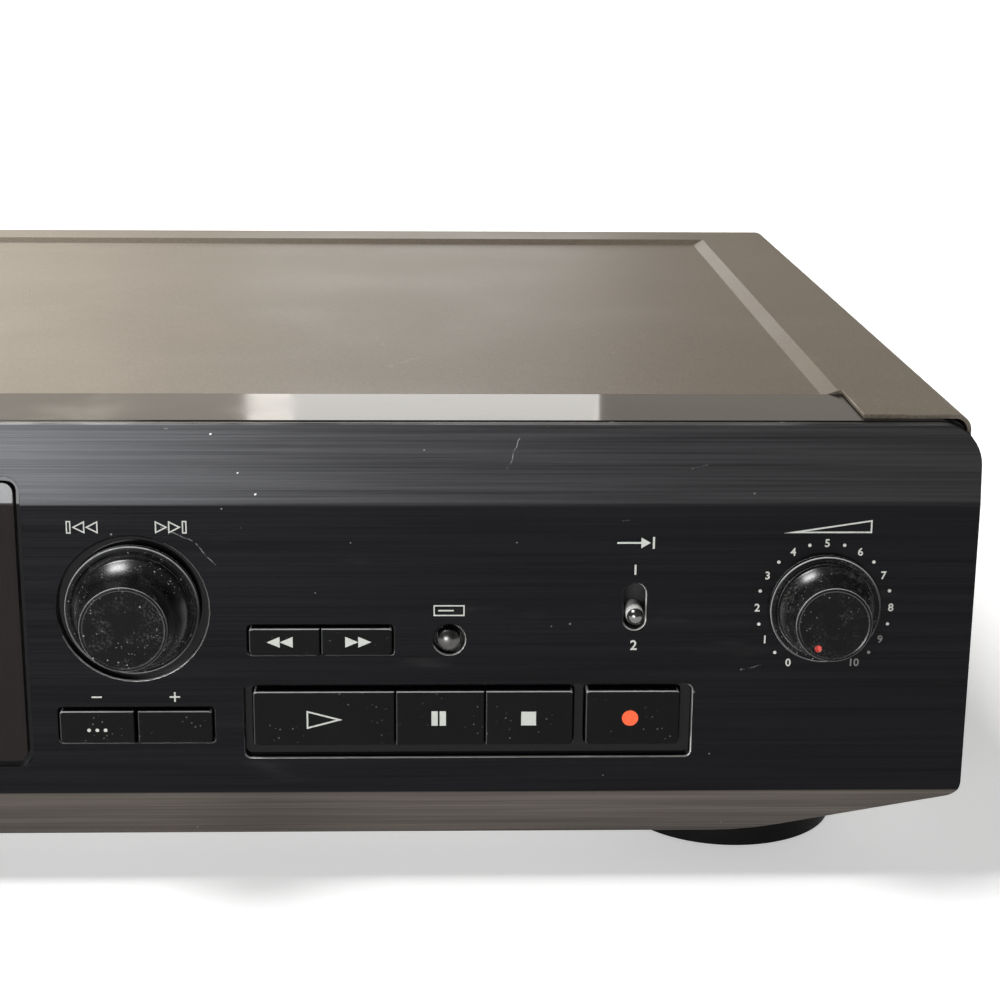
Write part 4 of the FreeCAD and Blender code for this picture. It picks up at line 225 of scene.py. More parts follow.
class Finish:
    """One material: a Principled shader and the nodes that feed it."""

    def __init__(self, name, roughness, metallic=0.0, specular=0.5, **constants):
        self.material = bpy.data.materials.new(name)
        self.material.use_nodes = True
        self.tree = self.material.node_tree
        self.tree.nodes.clear()
        self.shader = self.tree.nodes.new("ShaderNodeBsdfPrincipled")
        output = self.tree.nodes.new("ShaderNodeOutputMaterial")
        self.tree.links.new(self.shader.outputs[0], output.inputs[0])
        self.set("Roughness", roughness)
        self.set("Metallic", metallic)
        self.set("Specular IOR Level", specular)
        for socket, value in constants.items():
            self.set(socket, value)
        self.place = self.node("TexCoord", out="Object")

    def node(self, kind, adjust=None, sockets=None, out=0):
        """A node of some kind, set first and then fed; what it gives is a Value."""
        made = self.tree.nodes.new("ShaderNode" + kind)
        for name, value in (adjust or {}).items():
            setattr(made, name, value)
        for socket, value in (sockets or {}).items():
            self.feed(made.inputs[socket], value)
        return Value(self, made.outputs[out])

    def feed(self, socket, value):
        """Link a Value to a socket, or set a number or a colour there."""
        if isinstance(value, Value):
            self.tree.links.new(value.socket, socket)
        elif socket.type == "RGBA":
            socket.default_value = (*value[:3], 1.0)
        else:
            socket.default_value = value

    def set(self, socket, value):
        """Feed one of the shader's own sockets."""
        self.feed(self.shader.inputs[socket], value)

    def axis(self, name):
        """One coordinate of the piece, in metres."""
        return self.node("SeparateXYZ", {}, {0: self.place}, name)

    def facing(self, axis):
        """How far the surface looks along an axis, from -1 to 1."""
        normal = self.node("NewGeometry", out="True Normal")
        return self.node("SeparateXYZ", {}, {0: normal}, axis)

    def spread(self, size, turned, seed):
        """The piece's coordinates counted in steps of some size along each axis, after a turn."""
        size = size if isinstance(size, tuple) else (size, size, size)
        place = self.node("Mapping", {}, {"Vector": self.place, "Rotation": turned})
        steps = {"Scale": tuple(1 / step for step in size), "Location": (seed, seed, seed)}
        return self.node("Mapping", {}, {"Vector": place, **steps})

    def noise(self, size, detail=4.0, turned=(0.0, 0.0, 0.0), seed=0.0, warp=0.0):
        """Smooth noise from 0 to 1 with features of some size."""
        sockets = {"Vector": self.spread(size, turned, seed), "Scale": 1.0, "Detail": detail,
                   "Distortion": warp}
        return self.node("TexNoise", {}, sockets, "Fac")

    def marks(self, size, thin, keep, turned=(0.0, 0.0, 0.0), seed=0.0):
        """Scattered short marks, 1 inside: each cell of a size holds one, and a share is kept."""
        sockets = {"Vector": self.spread(size, turned, seed), "Scale": 1.0}
        cell = self.node("TexVoronoi", {}, sockets, "Distance")
        tint = self.node("TexVoronoi", {}, sockets, "Color")
        chosen = self.node("SeparateColor", {}, {0: tint}) < keep
        return cell.rise(thin, thin * 0.55) * chosen

    def streak(self, axes, start, end, width, wobble):
        """A scratch between two points of the plane of two axes, 1 on its line; sizes in mm."""
        start, end = Vector(start) * MM, Vector(end) * MM
        width, wobble, seed = width * MM, wobble * MM, start.x * 90
        run, way = (end - start).length, (end - start).normalized()
        first, second = self.axis(axes[0]) - start[0], self.axis(axes[1]) - start[1]
        along = first * way.x + second * way.y
        bend = (self.noise(run / 3, detail=3.0, seed=seed) - 0.5) * wobble
        off = second * way.x - first * way.y + bend
        faint = self.noise(0.0012, detail=3.0, seed=seed + 1).rise(0.36, 0.62)
        line = (off * off).rise(width * width, width * width * 0.2)
        return line * (along > 0) * (along < run) * faint

    def within(self, start, end, margin):
        """1 inside an upright rectangle on the face, with a margin round it."""
        x, z = self.axis("X"), self.axis("Z")
        across = (x > start.x - margin) * (x < end.x + margin)
        return across * (z > start.z - margin) * (z < end.z + margin)

    def edges(self, radius, start=0.04, end=0.2):
        """1 along the piece's sharp edges, within a radius."""
        normals = {0: self.node("Bevel", {"samples": 6}, {"Radius": radius}),
                   1: self.node("NewGeometry", out="Normal")}
        same = self.node("VectorMath", {"operation": "DOT_PRODUCT"}, normals, "Value")
        return (1 - same).rise(start, end)

    def mix(self, factor, first, second, blend="MIX"):
        """One colour turned into another, or blended with it."""
        return self.node("Mix", {"data_type": "RGBA", "blend_type": blend},
                         {0: factor, 6: first, 7: second}, 2)

    def paint(self, base, *layers):
        """A base colour under layers of (mask, colour)."""
        for mask, over in layers:
            base = self.mix(mask, base, over)
        self.set("Base Color", base)

    def relief(self, height, distance, soft=None):
        """Bump from a height, over edges rounded to a radius."""
        sockets = {"Height": height, "Distance": distance, "Strength": 1.0}
        if soft:
            sockets["Normal"] = self.node("Bevel", {"samples": 6}, {"Radius": soft})
        self.set("Normal", self.node("Bump", {}, sockets))
        return self


def dim(base, factor):
    """A colour made darker or lighter."""
    return tuple(min(1.0, channel * factor) for channel in base)


# ---- finishes
WHITE = (1, 1, 1)


def grey(level):
    """A neutral colour."""
    return level, level, level


# what shows where a finish is scratched, scuffed, worn or dusty, the painted highlight of the
# knobs' rims and the painted sheen of the lever shafts
COVER_SCRATCH, COVER_SPECK, COVER_WORN = (0.30, 0.28, 0.25), (0.42, 0.40, 0.36), (0.27, 0.25, 0.22)
GLOSS_SCUFF, LEDGE_DUST, WINDOW_SPECK = grey(0.18), (0.16, 0.125, 0.10), (0.30, 0.29, 0.27)
KEY_SCUFF, KNOB_SMUDGE, KEY_DUST = grey(0.20), (0.085, 0.080, 0.074), (0.36, 0.35, 0.33)
RIM_HIGHLIGHT, INNER_DUST = (0.36, 0.36, 0.355), (0.22, 0.20, 0.17)
LEVER_BALL, LEVER_ROD_SHEEN, LEVER_WORN = (0.17, 0.17, 0.165), (0.80, 0.80, 0.76), (0.16, 0.155, 0.15)

# scratches: two ends in mm, their width and how far they wander
COVER_SCRATCHES = (
    ((99.8, -73.5), (106.7, -62.6), 0.9, 4.0), ((96.5, -38.2), (99.2, -50.2), 0.35, 2.0),
    ((3.0, 34.0), (28.0, -60.0), 0.16, 6.0), ((132.0, 20.0), (149.0, -35.0), 0.14, 5.0),
    ((-60.0, 40.0), (-20.0, 52.0), 0.2, 3.0), ((-11.0, 64.0), (26.0, 18.0), 0.16, 4.0))
FACE_SCRATCHES = (
    ((58.5, 74.2), (64.5, 71.4), 0.12, 1.0), ((64.8, 71.2), (68.7, 66.6), 0.12, 0.8),
    ((159.4, 85.5), (162.4, 86.1), 0.10, 0.8), ((124.4, 85.4), (126.6, 91.2), 0.10, 1.6),
    ((170.1, 45.1), (174.3, 46.3), 0.14, 1.4), ((146.4, 75.3), (148.0, 75.6), 0.16, 0.3))


def hairline(finish, across, along):
    """Brushed lines along X, from 0 to 1: fine ones over broad ones."""
    fine = finish.noise((along, across, across), detail=3.0)
    broad = finish.noise((along * 2, across * 7, across * 7), detail=1.0, seed=3)
    return fine * 0.6 + broad * 0.4


def face_finish(colours, wear):
    """Black anodised, brushed metal, worn to bright metal.

    It is paler where it leans back, and painted brown-grey on the lip as a reflection of a table
    below. The rims of its openings are worn to bare metal, with a painted highlight above and to
    the left, and quieter round the small keys.
    """
    finish = Finish("face_metal", 0.4, metallic=0.85, specular=0.3)
    height, top = finish.axis("Z"), high("face_plate").z
    lines = hairline(finish, 0.00028, 0.05)
    leaning = height.rise(FACE_BEND - 0.4 * MM, FACE_BEND + 0.8 * MM)
    lip = height.rise(LIP_TOP + 0.2 * MM, LIP_TOP - 0.3 * MM)
    patchy = finish.noise(0.05, detail=3.0, seed=5)
    rub = finish.noise((0.03, 0.006, 0.006), seed=2).rise(0.66, 0.8) * 0.2 * wear.nicks
    nicks = finish.marks((0.009, 0.006, 0.006), 0.036, 0.16 * wear.nicks, (0, 0.6, 0), seed=4)
    dust = finish.marks(0.0035, 0.07, 0.16 * wear.nicks, seed=9) * 0.45
    slant = finish.facing("Y")
    # painted highlight: rims facing up or to the left are painted bright metal, as if lit from the
    # upper left; other rims keep only a faint worn edge
    lit = finish.facing("Z").rise(0.15, 0.5).either(finish.facing("X").rise(-0.15, -0.5))
    rims = slant.rise(-0.86, -0.8) * slant.rise(-0.5, -0.6) * lit.between(0.06, 1.0)
    rims = rims * finish.noise(0.006, seed=7).rise(0.2, 0.5).between(0.5, 1.0)
    for node in ("edit_key", "yes_key", "rewind_key", "forward_key", "eject_key", "power_button"):
        rims = rims * (1 - finish.within(low(node), high(node), MM) * 0.72)
    # painted highlight: a patchy bright line along the face's top edge
    top_edge_highlight = height.rise(top - 0.5 * MM, top - 0.1 * MM)
    top_edge_highlight = top_edge_highlight * finish.noise((0.04, 0.01, 0.01), detail=3.0, seed=8).rise(0.4, 0.6)
    chips = finish.marks((0.004, 0.002, 0.002), 0.16, 0.3 * wear.nicks, seed=13)
    chips = chips * height.rise(top - 1.2 * MM, top - 0.4 * MM)
    for scratch in FACE_SCRATCHES:
        nicks = nicks.either(finish.streak("XZ", *scratch) * 0.24)
    # the lip gets its painted reflection of the table below
    base = finish.mix(lip, colours.face, colours.lip)
    base = finish.mix(leaning, base, colours.face_upper)
    shade = finish.mix(lines.rise(0.3, 0.7), grey(0.5), WHITE)
    metal = colours.bare_metal_and_highlight
    finish.paint(finish.mix(1.0, base, shade, blend="MULTIPLY"),
                 (rub, dim(metal, 0.12)), (dust, dim(metal, 0.5)), (rims, dim(metal, 0.95)),
                 (top_edge_highlight * 0.5, dim(metal, 0.4)), (chips, metal), (nicks, dim(metal, 0.8)))
    finish.set("Roughness", lines * 0.14 + patchy * 0.10 + 0.20 + nicks * 0.1)
    return finish.relief(lines * 0.5 - nicks * 0.6, 0.05 * MM, 0.22 * MM)


def cover_finish(colours, wear):
    """Satin brown-grey paint on steel: fine grain, scratches, smudges and pale worn edges."""
    finish = Finish("cover_paint", 0.42)
    grain = finish.noise(0.0006, detail=3.0)
    smudge = finish.noise(0.045, seed=3, warp=0.4)
    broad = finish.noise(0.12, detail=2.0, seed=8)
    kept = 0.10 * wear.scratches
    scratch = finish.marks((0.06, 0.0022, 0.01), 0.035, kept, (0, 0, 0.35), seed=2)
    cross = finish.marks((0.035, 0.002, 0.01), 0.04, kept, (0, 0, -1.1), seed=6)
    loops = finish.noise(0.02, detail=1.0, seed=11, warp=1.2)
    curl = loops.rise(0.497, 0.5) * loops.rise(0.503, 0.5)
    curl = curl * finish.noise(0.03, detail=0.0, seed=14).rise(0.66, 0.72) * wear.scratches
    worn = finish.edges(0.7 * MM) * finish.noise(0.012, seed=5).rise(0.40, 0.62)
    specks = finish.marks(0.006, 0.05, 0.12 * wear.dust, seed=9)
    paint = colours.cover
    mottled = finish.mix(grain.rise(0.3, 0.7), dim(paint, 0.72), dim(paint, 1.3))
    stroke = scratch.either(cross).either(curl)
    for scratch in COVER_SCRATCHES:
        stroke = stroke.either(finish.streak("XY", *scratch))
    finish.paint(mottled, (smudge.rise(0.5, 0.8) * 0.35, dim(paint, 1.8)),
                 (stroke * 0.55, COVER_SCRATCH), (specks * 0.7, COVER_SPECK),
                 (worn * 0.75, COVER_WORN))
    finish.set("Roughness", smudge * 0.12 + broad * 0.08 + grain * 0.06 + 0.30 + stroke * 0.12)
    return finish.relief(grain * 0.35 - stroke * 0.5, 0.12 * MM, 0.35 * MM)


def gloss_finish(colours, wear):
    """Glossy black moulding with hairline scratches, and dust where a low ledge faces up."""
    finish = Finish("bezel_gloss", 0.08, specular=0.16)
    scuff = finish.marks((0.05, 0.0016, 0.0016), 0.045, 0.18 * wear.scratches, (0, 0, 0.2), seed=3)
    haze = finish.noise(0.03, seed=2)
    low_ledge = finish.facing("Z").rise(0.6, 0.9) * finish.axis("Z").rise(60 * MM, 50 * MM)
    dust = low_ledge * finish.noise(0.006, detail=5.0, seed=6).rise(0.42, 0.65)
    finish.paint(colours.moulding, (scuff * 0.35, GLOSS_SCUFF), (dust * 0.6, LEDGE_DUST))
    finish.set("Roughness", haze.rise(0.45, 0.75) * 0.10 + 0.05 + scuff * 0.2 + dust * 0.5)
    return finish.relief(haze * 0.2 - scuff * 0.2, 0.02 * MM, 0.3 * MM)


def moulded_finish(name, base, wear, roughness=0.34, specular=0.2, dusty=1.0, painted_highlight=0.0,
                   polish=0.0, scuffed=0.0):
    """Moulded satin plastic: fine texture, worn bright edges, a painted highlight on edges that
    face up and to the left, specks of dust and small scuffs.

    Polish gives a gloss to all that doesn't face the front, and scuffed a smudged front.
    """
    finish = Finish(name, roughness, specular=specular)
    texture = finish.noise(0.00035, detail=2.0)
    rub = finish.noise(0.012, seed=3)
    specks = finish.marks(0.0009, 0.22, 0.8 * wear.dust, seed=5)
    specks = specks * finish.noise(0.008, detail=2.0, seed=9).rise(0.5, 0.6) * dusty
    scuffs = finish.marks((0.0045, 0.0011, 0.0011), 0.13, 0.7 * wear.dust, (0.0, 0.7, 0.3), seed=2)
    scuffs = scuffs * finish.noise(0.008, detail=1.0, seed=12).rise(0.5, 0.62) * dusty
    patchy = finish.noise(0.006, seed=8)
    rims = finish.edges(0.22 * MM) * patchy.rise(0.35, 0.65)
    up, left = finish.facing("Z"), finish.facing("X") * -1
    # painted highlight: edges facing up, and less so to the left, are painted pale as if lit from
    # the upper left
    if polish:
        highlight_crest = finish.edges(0.5 * MM) * up.rise(0.05, 0.35).either(left.rise(0.2, 0.6) * 0.7)
    else:
        highlight_crest = (up.rise(0.3, 0.5) * up.rise(0.96, 0.85)).either(
            left.rise(0.3, 0.5) * left.rise(0.96, 0.85) * 0.2)
    highlight_crest = highlight_crest * patchy.rise(0.2, 0.5).between(0.6, 1.0) * painted_highlight
    grit = finish.marks(0.0006, 0.24, 0.9 * wear.dust, seed=21)
    grit = grit * finish.noise(0.007, detail=2.0, seed=22).rise(0.5, 0.62) * scuffed
    smudges = finish.noise(0.005, detail=5.0, seed=15, warp=0.8).rise(0.46, 0.72)
    smudges = smudges * finish.noise(0.0005, seed=16).rise(0.45, 0.65) * scuffed
    finish.paint(base, (rub.rise(0.5, 0.8) * 0.3, dim(base, 2.2)), (rims * 0.4, dim(base, 7.0)),
                 (scuffs * 0.35, KEY_SCUFF), (smudges * 0.5, KNOB_SMUDGE),
                 (specks.either(grit * 0.6) * 0.8, KEY_DUST),
                 (highlight_crest, grey(0.6 if polish else 0.3)))
    finish.set("Roughness", rub * 0.16 + texture * 0.06 + (roughness - 0.1) + scuffs * 0.1)
    if polish:
        finish.set("Coat Weight", finish.facing("Y").rise(-0.97, -0.9) * polish)
        finish.set("Coat Roughness", 0.27)
    return finish.relief(texture * 0.3, 0.03 * MM, 0.12 * MM)


def rim_highlight_finish(base):
    """Rims painted pale above and to the left as a highlight, in patches."""
    finish = Finish("knob_rim_highlight", 0.35, specular=0.2)
    patchy = finish.noise(0.005, seed=3)
    up, left = finish.facing("Z"), finish.facing("X") * -1
    rim_highlight = up.rise(-0.1, 0.6).either(left.rise(0.1, 0.7) * 0.8) * patchy.rise(0.2, 0.5)
    finish.paint(base, (rim_highlight, RIM_HIGHLIGHT))
    finish.set("Roughness", patchy * 0.2 + 0.25)
    return finish.relief(patchy * 0.3, 0.03 * MM)


def window_finish(colours, wear):
    """Smoked, hard-coated plastic with wiping marks."""
    finish = Finish("window_smoke", 0.1, specular=0.16, Alpha=0.97)
    wiped = finish.noise((0.03, 0.004, 0.004), detail=3.0, turned=(0, 0.5, 0))
    smear = finish.noise(0.02, seed=4, warp=0.6)
    specks = finish.marks(0.003, 0.06, 0.16 * wear.dust, seed=7)
    finish.paint(colours.window, (smear.rise(0.5, 0.8) * 0.4, dim(colours.window, 1.6)),
                 (specks * 0.7, WINDOW_SPECK))
    finish.set("Coat Weight", finish.facing("Z").rise(0.05, 0.1) * 0.28)
    finish.set("Roughness", wiped * 0.08 + smear * 0.06 + 0.04)
    return finish.relief(smear * 0.2, 0.02 * MM)


def print_finish(name, base, roughness=0.5):
    """Screen print: nearly even colour with worn pinholes."""
    finish = Finish(name, roughness, specular=0.3)
    thin = finish.noise(0.0009, detail=3.0, seed=2)
    finish.paint(base, (thin.rise(0.62, 0.8) * 0.5, dim(base, 0.4)))
    finish.set("Roughness", thin * 0.2 + roughness - 0.1)
    return finish


def metal_finish(name, base, roughness, size):
    """Bare or plated metal: drawn or rolled lines of a size, stains and scuffed edges."""
    finish = Finish(name, roughness, metallic=1.0)
    lines = finish.noise(size, detail=3.0)
    stains = finish.noise(0.02, seed=4, warp=0.5)
    nick = finish.marks((0.006, 0.0015, 0.0015), 0.06, 0.12, (0.4, 0.3, 0.8), seed=3)
    rims = finish.edges(0.2 * MM) * 0.4
    shade = finish.mix(lines.rise(0.3, 0.75), dim(base, 0.78), dim(base, 1.08))
    finish.paint(shade, (stains.rise(0.5, 0.75) * 0.35, dim(base, 0.62)),
                 (rims.either(nick * 0.6), dim(base, 1.3)))
    finish.set("Roughness", lines * 0.14 + stains * 0.16 + (roughness - 0.15) + nick * 0.1)
    return finish.relief(lines * 0.4 - nick * 0.4, 0.03 * MM, 0.12 * MM)


def lever_finish():
    """Plated lever, polished at its round end; its shaft is rougher, and painted pale and less
    metallic as a reflection of a bright ceiling.
    """
    finish = Finish("lever_chrome", 0.25)
    # painted reflection: the shaft's sides are painted pale, standing in for a bright ceiling
    # mirrored in them
    rod_sheen = finish.facing("Y").rise(-0.45, -0.15)
    worn = finish.noise(0.0012, seed=2)
    finish.paint(LEVER_BALL, (rod_sheen, LEVER_ROD_SHEEN), (worn.rise(0.55, 0.75) * 0.4, LEVER_WORN))
    finish.set("Metallic", rod_sheen * -0.85 + 1.0)
    finish.set("Roughness", worn * 0.12 + 0.16 + rod_sheen * 0.25)
    return finish.relief(worn * 0.4, 0.03 * MM, 0.12 * MM)


def plastic_finish(name, base, roughness, specular=0.35):
    """Plain moulded plastic of inner and under parts: sparkle texture and dust."""
    finish = Finish(name, roughness, specular=specular)
    texture = finish.noise(0.0005, detail=3.0)
    haze = finish.noise(0.015, seed=6)
    dust = finish.facing("Z").rise(0.5, 0.95) * haze.rise(0.4, 0.7) * 0.3
    finish.paint(finish.mix(texture.rise(0.3, 0.7), dim(base, 0.8), dim(base, 1.35)),
                 (finish.edges(0.2 * MM) * 0.4, dim(base, 3.5)), (dust, INNER_DUST))
    finish.set("Roughness", texture * 0.12 + haze * 0.1 + roughness - 0.1)
    return finish.relief(texture * 0.5, 0.06 * MM, 0.15 * MM)


# ---- meshes
WELD = 0.0005 * MM           # points nearer than this are one
KNOB_STEPS, SMALL_STEPS, DOT_STEPS = 128, 48, 32        # faces round a turned piece


def link(name, data):
    """A new object of the scene."""
    made = bpy.data.objects.new(name, data)
    bpy.context.scene.collection.objects.link(made)
    return made


def add(name, shape, finish, body, slot, *nodes, sharp=35.0):
    """Turn a bmesh into a piece that rides on a body and stands for CAD nodes."""
    data = bpy.data.meshes.new(name)
    shape.to_mesh(data)
    shape.free()
    data.shade_smooth()
    data.set_sharp_from_angle(angle=radians(sharp))
    data.materials.append(finish.material)
    piece = link(name, data)
    piece.modifiers.new("flat_faces", "WEIGHTED_NORMAL").keep_sharp = True
    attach(piece, body)
    if nodes:
        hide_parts(*nodes)


def dress(finish, *nodes):
    """Give CAD nodes their finish."""
    for node in nodes:
        for slot in NODES[node].material_slots:
            slot.material = finish.material


def arc(angle, steps):
    """Angles from 0 to another one, in equal steps."""
    return [angle * step / steps for step in range(steps + 1)]


def bow(x, y, radius, turns):
    """Points round a middle; a negative radius puts them on its other side."""
    return [(x + radius * cos(turn), y + radius * sin(turn)) for turn in turns]


def face_out(shape):
    """Close the seams and turn every face outwards."""
    bmesh.ops.remove_doubles(shape, verts=shape.verts, dist=WELD)
    bmesh.ops.recalc_face_normals(shape, faces=shape.faces)


def bevel(shape, edges, radius, segments, clamp=False):
    """Round some edges."""
    bmesh.ops.bevel(shape, geom=edges, offset=radius, offset_type="OFFSET", segments=segments,
                    profile=0.5, affect="EDGES", material=-1, clamp_overlap=clamp)


def soften(shape, radius, segments=3, chosen=lambda edge: True):
    """Round the sharp edges that are chosen."""
    corner = radians(30)
    sharp = [edge for edge in shape.edges
             if edge.is_manifold and edge.calc_face_angle() > corner and chosen(edge)]
    bevel(shape, sharp, radius, segments, clamp=True)


def spun(profile, centre, steps):
    """A round shape: (radius, reach) points turned about a centre, with reach going to minus Y."""
    shape = bmesh.new()
    corners = [shape.verts.new((radius, 0, reach)) for radius, reach in profile]
    rails = [shape.edges.new(pair) for pair in zip(corners, corners[1:])]
    bmesh.ops.spin(shape, geom=corners + rails, cent=(0, 0, 0), axis=(0, 0, 1), angle=tau,
                   steps=steps, use_merge=True)
    face_out(shape)
    bmesh.ops.rotate(shape, verts=shape.verts, matrix=UPRIGHT.to_3x3())
    bmesh.ops.translate(shape, verts=shape.verts, vec=centre)
    return shape


def brick(start, end, radius=0.0):
    """A block between two corners, with rounded edges."""
    shape = bmesh.new()
    start, end = Vector(start), Vector(end)
    bmesh.ops.create_cube(shape, size=1.0)
    bmesh.ops.scale(shape, verts=shape.verts, vec=end - start)
    bmesh.ops.translate(shape, verts=shape.verts, vec=(start + end) / 2)
    if radius:
        soften(shape, radius)
    return shape


def joined(*shapes):
    """Several bmeshes as one."""
    whole = bmesh.new()
    for shape in shapes:
        part = bpy.data.meshes.new("part")
        shape.to_mesh(part)
        shape.free()
        whole.from_mesh(part)
        bpy.data.meshes.remove(part)
    return whole


def carved(shape, cutter):
    """A bmesh with another one cut out of it."""
    blank, tool = bpy.data.meshes.new("blank"), bpy.data.meshes.new("tool")
    shape.to_mesh(blank)
    cutter.to_mesh(tool)
    cutter.free()
    helpers = blank_object, tool_object = link("blank", blank), link("tool", tool)
    cut = blank_object.modifiers.new("cut", "BOOLEAN")
    cut.operation, cut.solver, cut.object = "DIFFERENCE", "EXACT", tool_object
    graph = bpy.context.evaluated_depsgraph_get()
    done = bpy.data.meshes.new_from_object(blank_object.evaluated_get(graph))
    shape.clear()
    shape.from_mesh(done)
    for helper in helpers:
        bpy.data.objects.remove(helper)
    for mesh in (blank, tool, done):
        bpy.data.meshes.remove(mesh)
    return shape


class Marks:
    """Flat marks in an upright plane, raised at the end into thin print."""

    def __init__(self, front):
        self.shape = bmesh.new()
        self.front = front

    def fill(self, *corners):
        """A filled shape with (x, z) corners."""
        return self.shape.faces.new([self.shape.verts.new((x, self.front, z)) for x, z in corners])

    def outline(self, stroke, *corners):
        """The same as a line of some width along its inside, or filled where that is none."""
        face = self.fill(*corners)
        if stroke:
            self.shape.normal_update()
            bmesh.ops.inset_region(self.shape, faces=[face], thickness=stroke, use_even_offset=True,
                                   use_boundary=True)
            bmesh.ops.delete(self.shape, geom=[face], context="FACES_ONLY")

    def bar(self, left, right, bottom, top, stroke=None):
        """An upright rectangle, filled or outlined."""
        self.outline(stroke, (left, bottom), (right, bottom), (right, top), (left, top))

    def bars(self, x, z, *rows):
        """Filled rectangles, in mm from a point: their left, right, bottom and top."""
        for left, right, bottom, top in rows:
            self.bar(x + left * MM, x + right * MM, z + bottom * MM, z + top * MM)

    def triangle(self, left, right, bottom, top, stroke=None):
        """A triangle that points from left to right, filled or outlined."""
        self.outline(stroke, (left, bottom), (right, (bottom + top) / 2), (left, top))

    def dot(self, x, z, radius):
        """A round dot."""
        place = Matrix.Translation((x, self.front, z)) @ UPRIGHT
        bmesh.ops.create_circle(self.shape, cap_ends=True, radius=radius,
                                segments=DOT_STEPS, matrix=place)

    def ring(self, x, z, radius, stroke):
        """A round line."""
        self.outline(stroke, *bow(x, z, radius, arc(tau, 40)[:-1]))

    def digits(self, words, x, z, height, weight):
        """Plain digits, centred, their outline moved out by a weight."""
        text = bpy.data.curves.new("digits", "FONT")
        text.body, text.align_x, text.align_y = words, "CENTER", "CENTER"
        text.offset = weight
        holder = link("digits", text)
        graph = bpy.context.evaluated_depsgraph_get()
        flat = bpy.data.meshes.new_from_object(holder.evaluated_get(graph))
        widths, heights = ([vertex.co[axis] for vertex in flat.vertices] for axis in (0, 1))
        scale = height / (max(heights) - min(heights))
        centre = Vector((max(widths) + min(widths), max(heights) + min(heights), 0)) / 2
        flat.transform(Matrix.Translation((x, self.front, z)) @ UPRIGHT
                       @ Matrix.Scale(scale, 4) @ Matrix.Translation(-centre))
        self.shape.from_mesh(flat)
        bpy.data.objects.remove(holder)
        bpy.data.curves.remove(text)
        bpy.data.meshes.remove(flat)

    def piece(self, name, finish, body, slot, thick):
        """Raise all the marks by their thickness and add them as one piece."""
        raised = bmesh.ops.extrude_face_region(self.shape, geom=self.shape.faces[:])["geom"]
        corners = [part for part in raised if isinstance(part, bmesh.types.BMVert)]
        bmesh.ops.translate(self.shape, verts=corners, vec=(0, -thick, 0))
        face_out(self.shape)
        add(name, self.shape, finish, body, slot)


# ---- stage
# each soft light: its place, the point it looks at, its two sizes, its power and its tint
SOFTBOXES = {
    "window_low": ((0.09, 2.10, 0.47), (0.09, 0.0, 0.09), (0.46, 0.56), 1.9, (1.0, 0.97, 0.92)),
    "window_high": ((-1.2, 1.9, 1.35), (0.0, 0.0, 0.08), (2.2, 1.2), 27.0, (1.0, 0.90, 0.76)),
    "wall_left": ((-1.25, 2.6, 0.85), (-0.1, 0.0, 0.09), (2.4, 1.25), 8.2, (1.0, 0.89, 0.75)),
    "wall_right": ((1.42, 2.6, 0.85), (0.1, 0.0, 0.09), (2.3, 1.25), 4.6, (1.0, 0.88, 0.73)),
    "overhead_light": ((-0.65, -0.15, 1.7), (0.0, -0.1, 0.0), (0.7, 0.7), 34.0, WHITE),
    "front_light": ((-0.56, -1.7, 0.26), (0.0, FACE, 0.06), (0.74, 0.5), 22.5, (0.96, 0.98, 1.0)),
}
WORLD_LIGHT = 0.14          # the world's strength for all but the camera, which sees it white


def softbox(name, place, aim, size, power, tint):
    """A rectangular area light that looks at a point."""
    light = bpy.data.lights.new(name, "AREA")
    light.shape, light.size, light.size_y = "RECTANGLE", *size
    light.energy, light.color = power, tint
    lamp = link(name, light)
    lamp.location = place
    lamp.rotation_euler = (Vector(aim) - Vector(place)).to_track_quat("-Z", "Y").to_euler()


def paper_finish():
    """Pale paper that the camera and mirrored rays see glow, and more so far away."""
    paper = Finish("floor_paper", 0.9, specular=0.0)
    tone = paper.noise(0.4, detail=2.0).rise(0.3, 0.7)
    paper.paint(paper.mix(tone, (0.80, 0.80, 0.795), (0.83, 0.83, 0.825)))
    seen = paper.node("LightPath", out="Is Camera Ray")
    for path in ("Is Glossy Ray", "Is Transmission Ray"):
        seen = seen.either(paper.node("LightPath", out=path))
    away = paper.node("VectorMath", {"operation": "LENGTH"}, {0: paper.place}, "Value")
    glow = away.rise(0.5, 2.2).between(0.42, 0.92)
    paper.set("Emission Color", paper.mix(seen * glow, grey(0.0), WHITE))
    paper.set("Emission Strength", 1.0)
    return paper


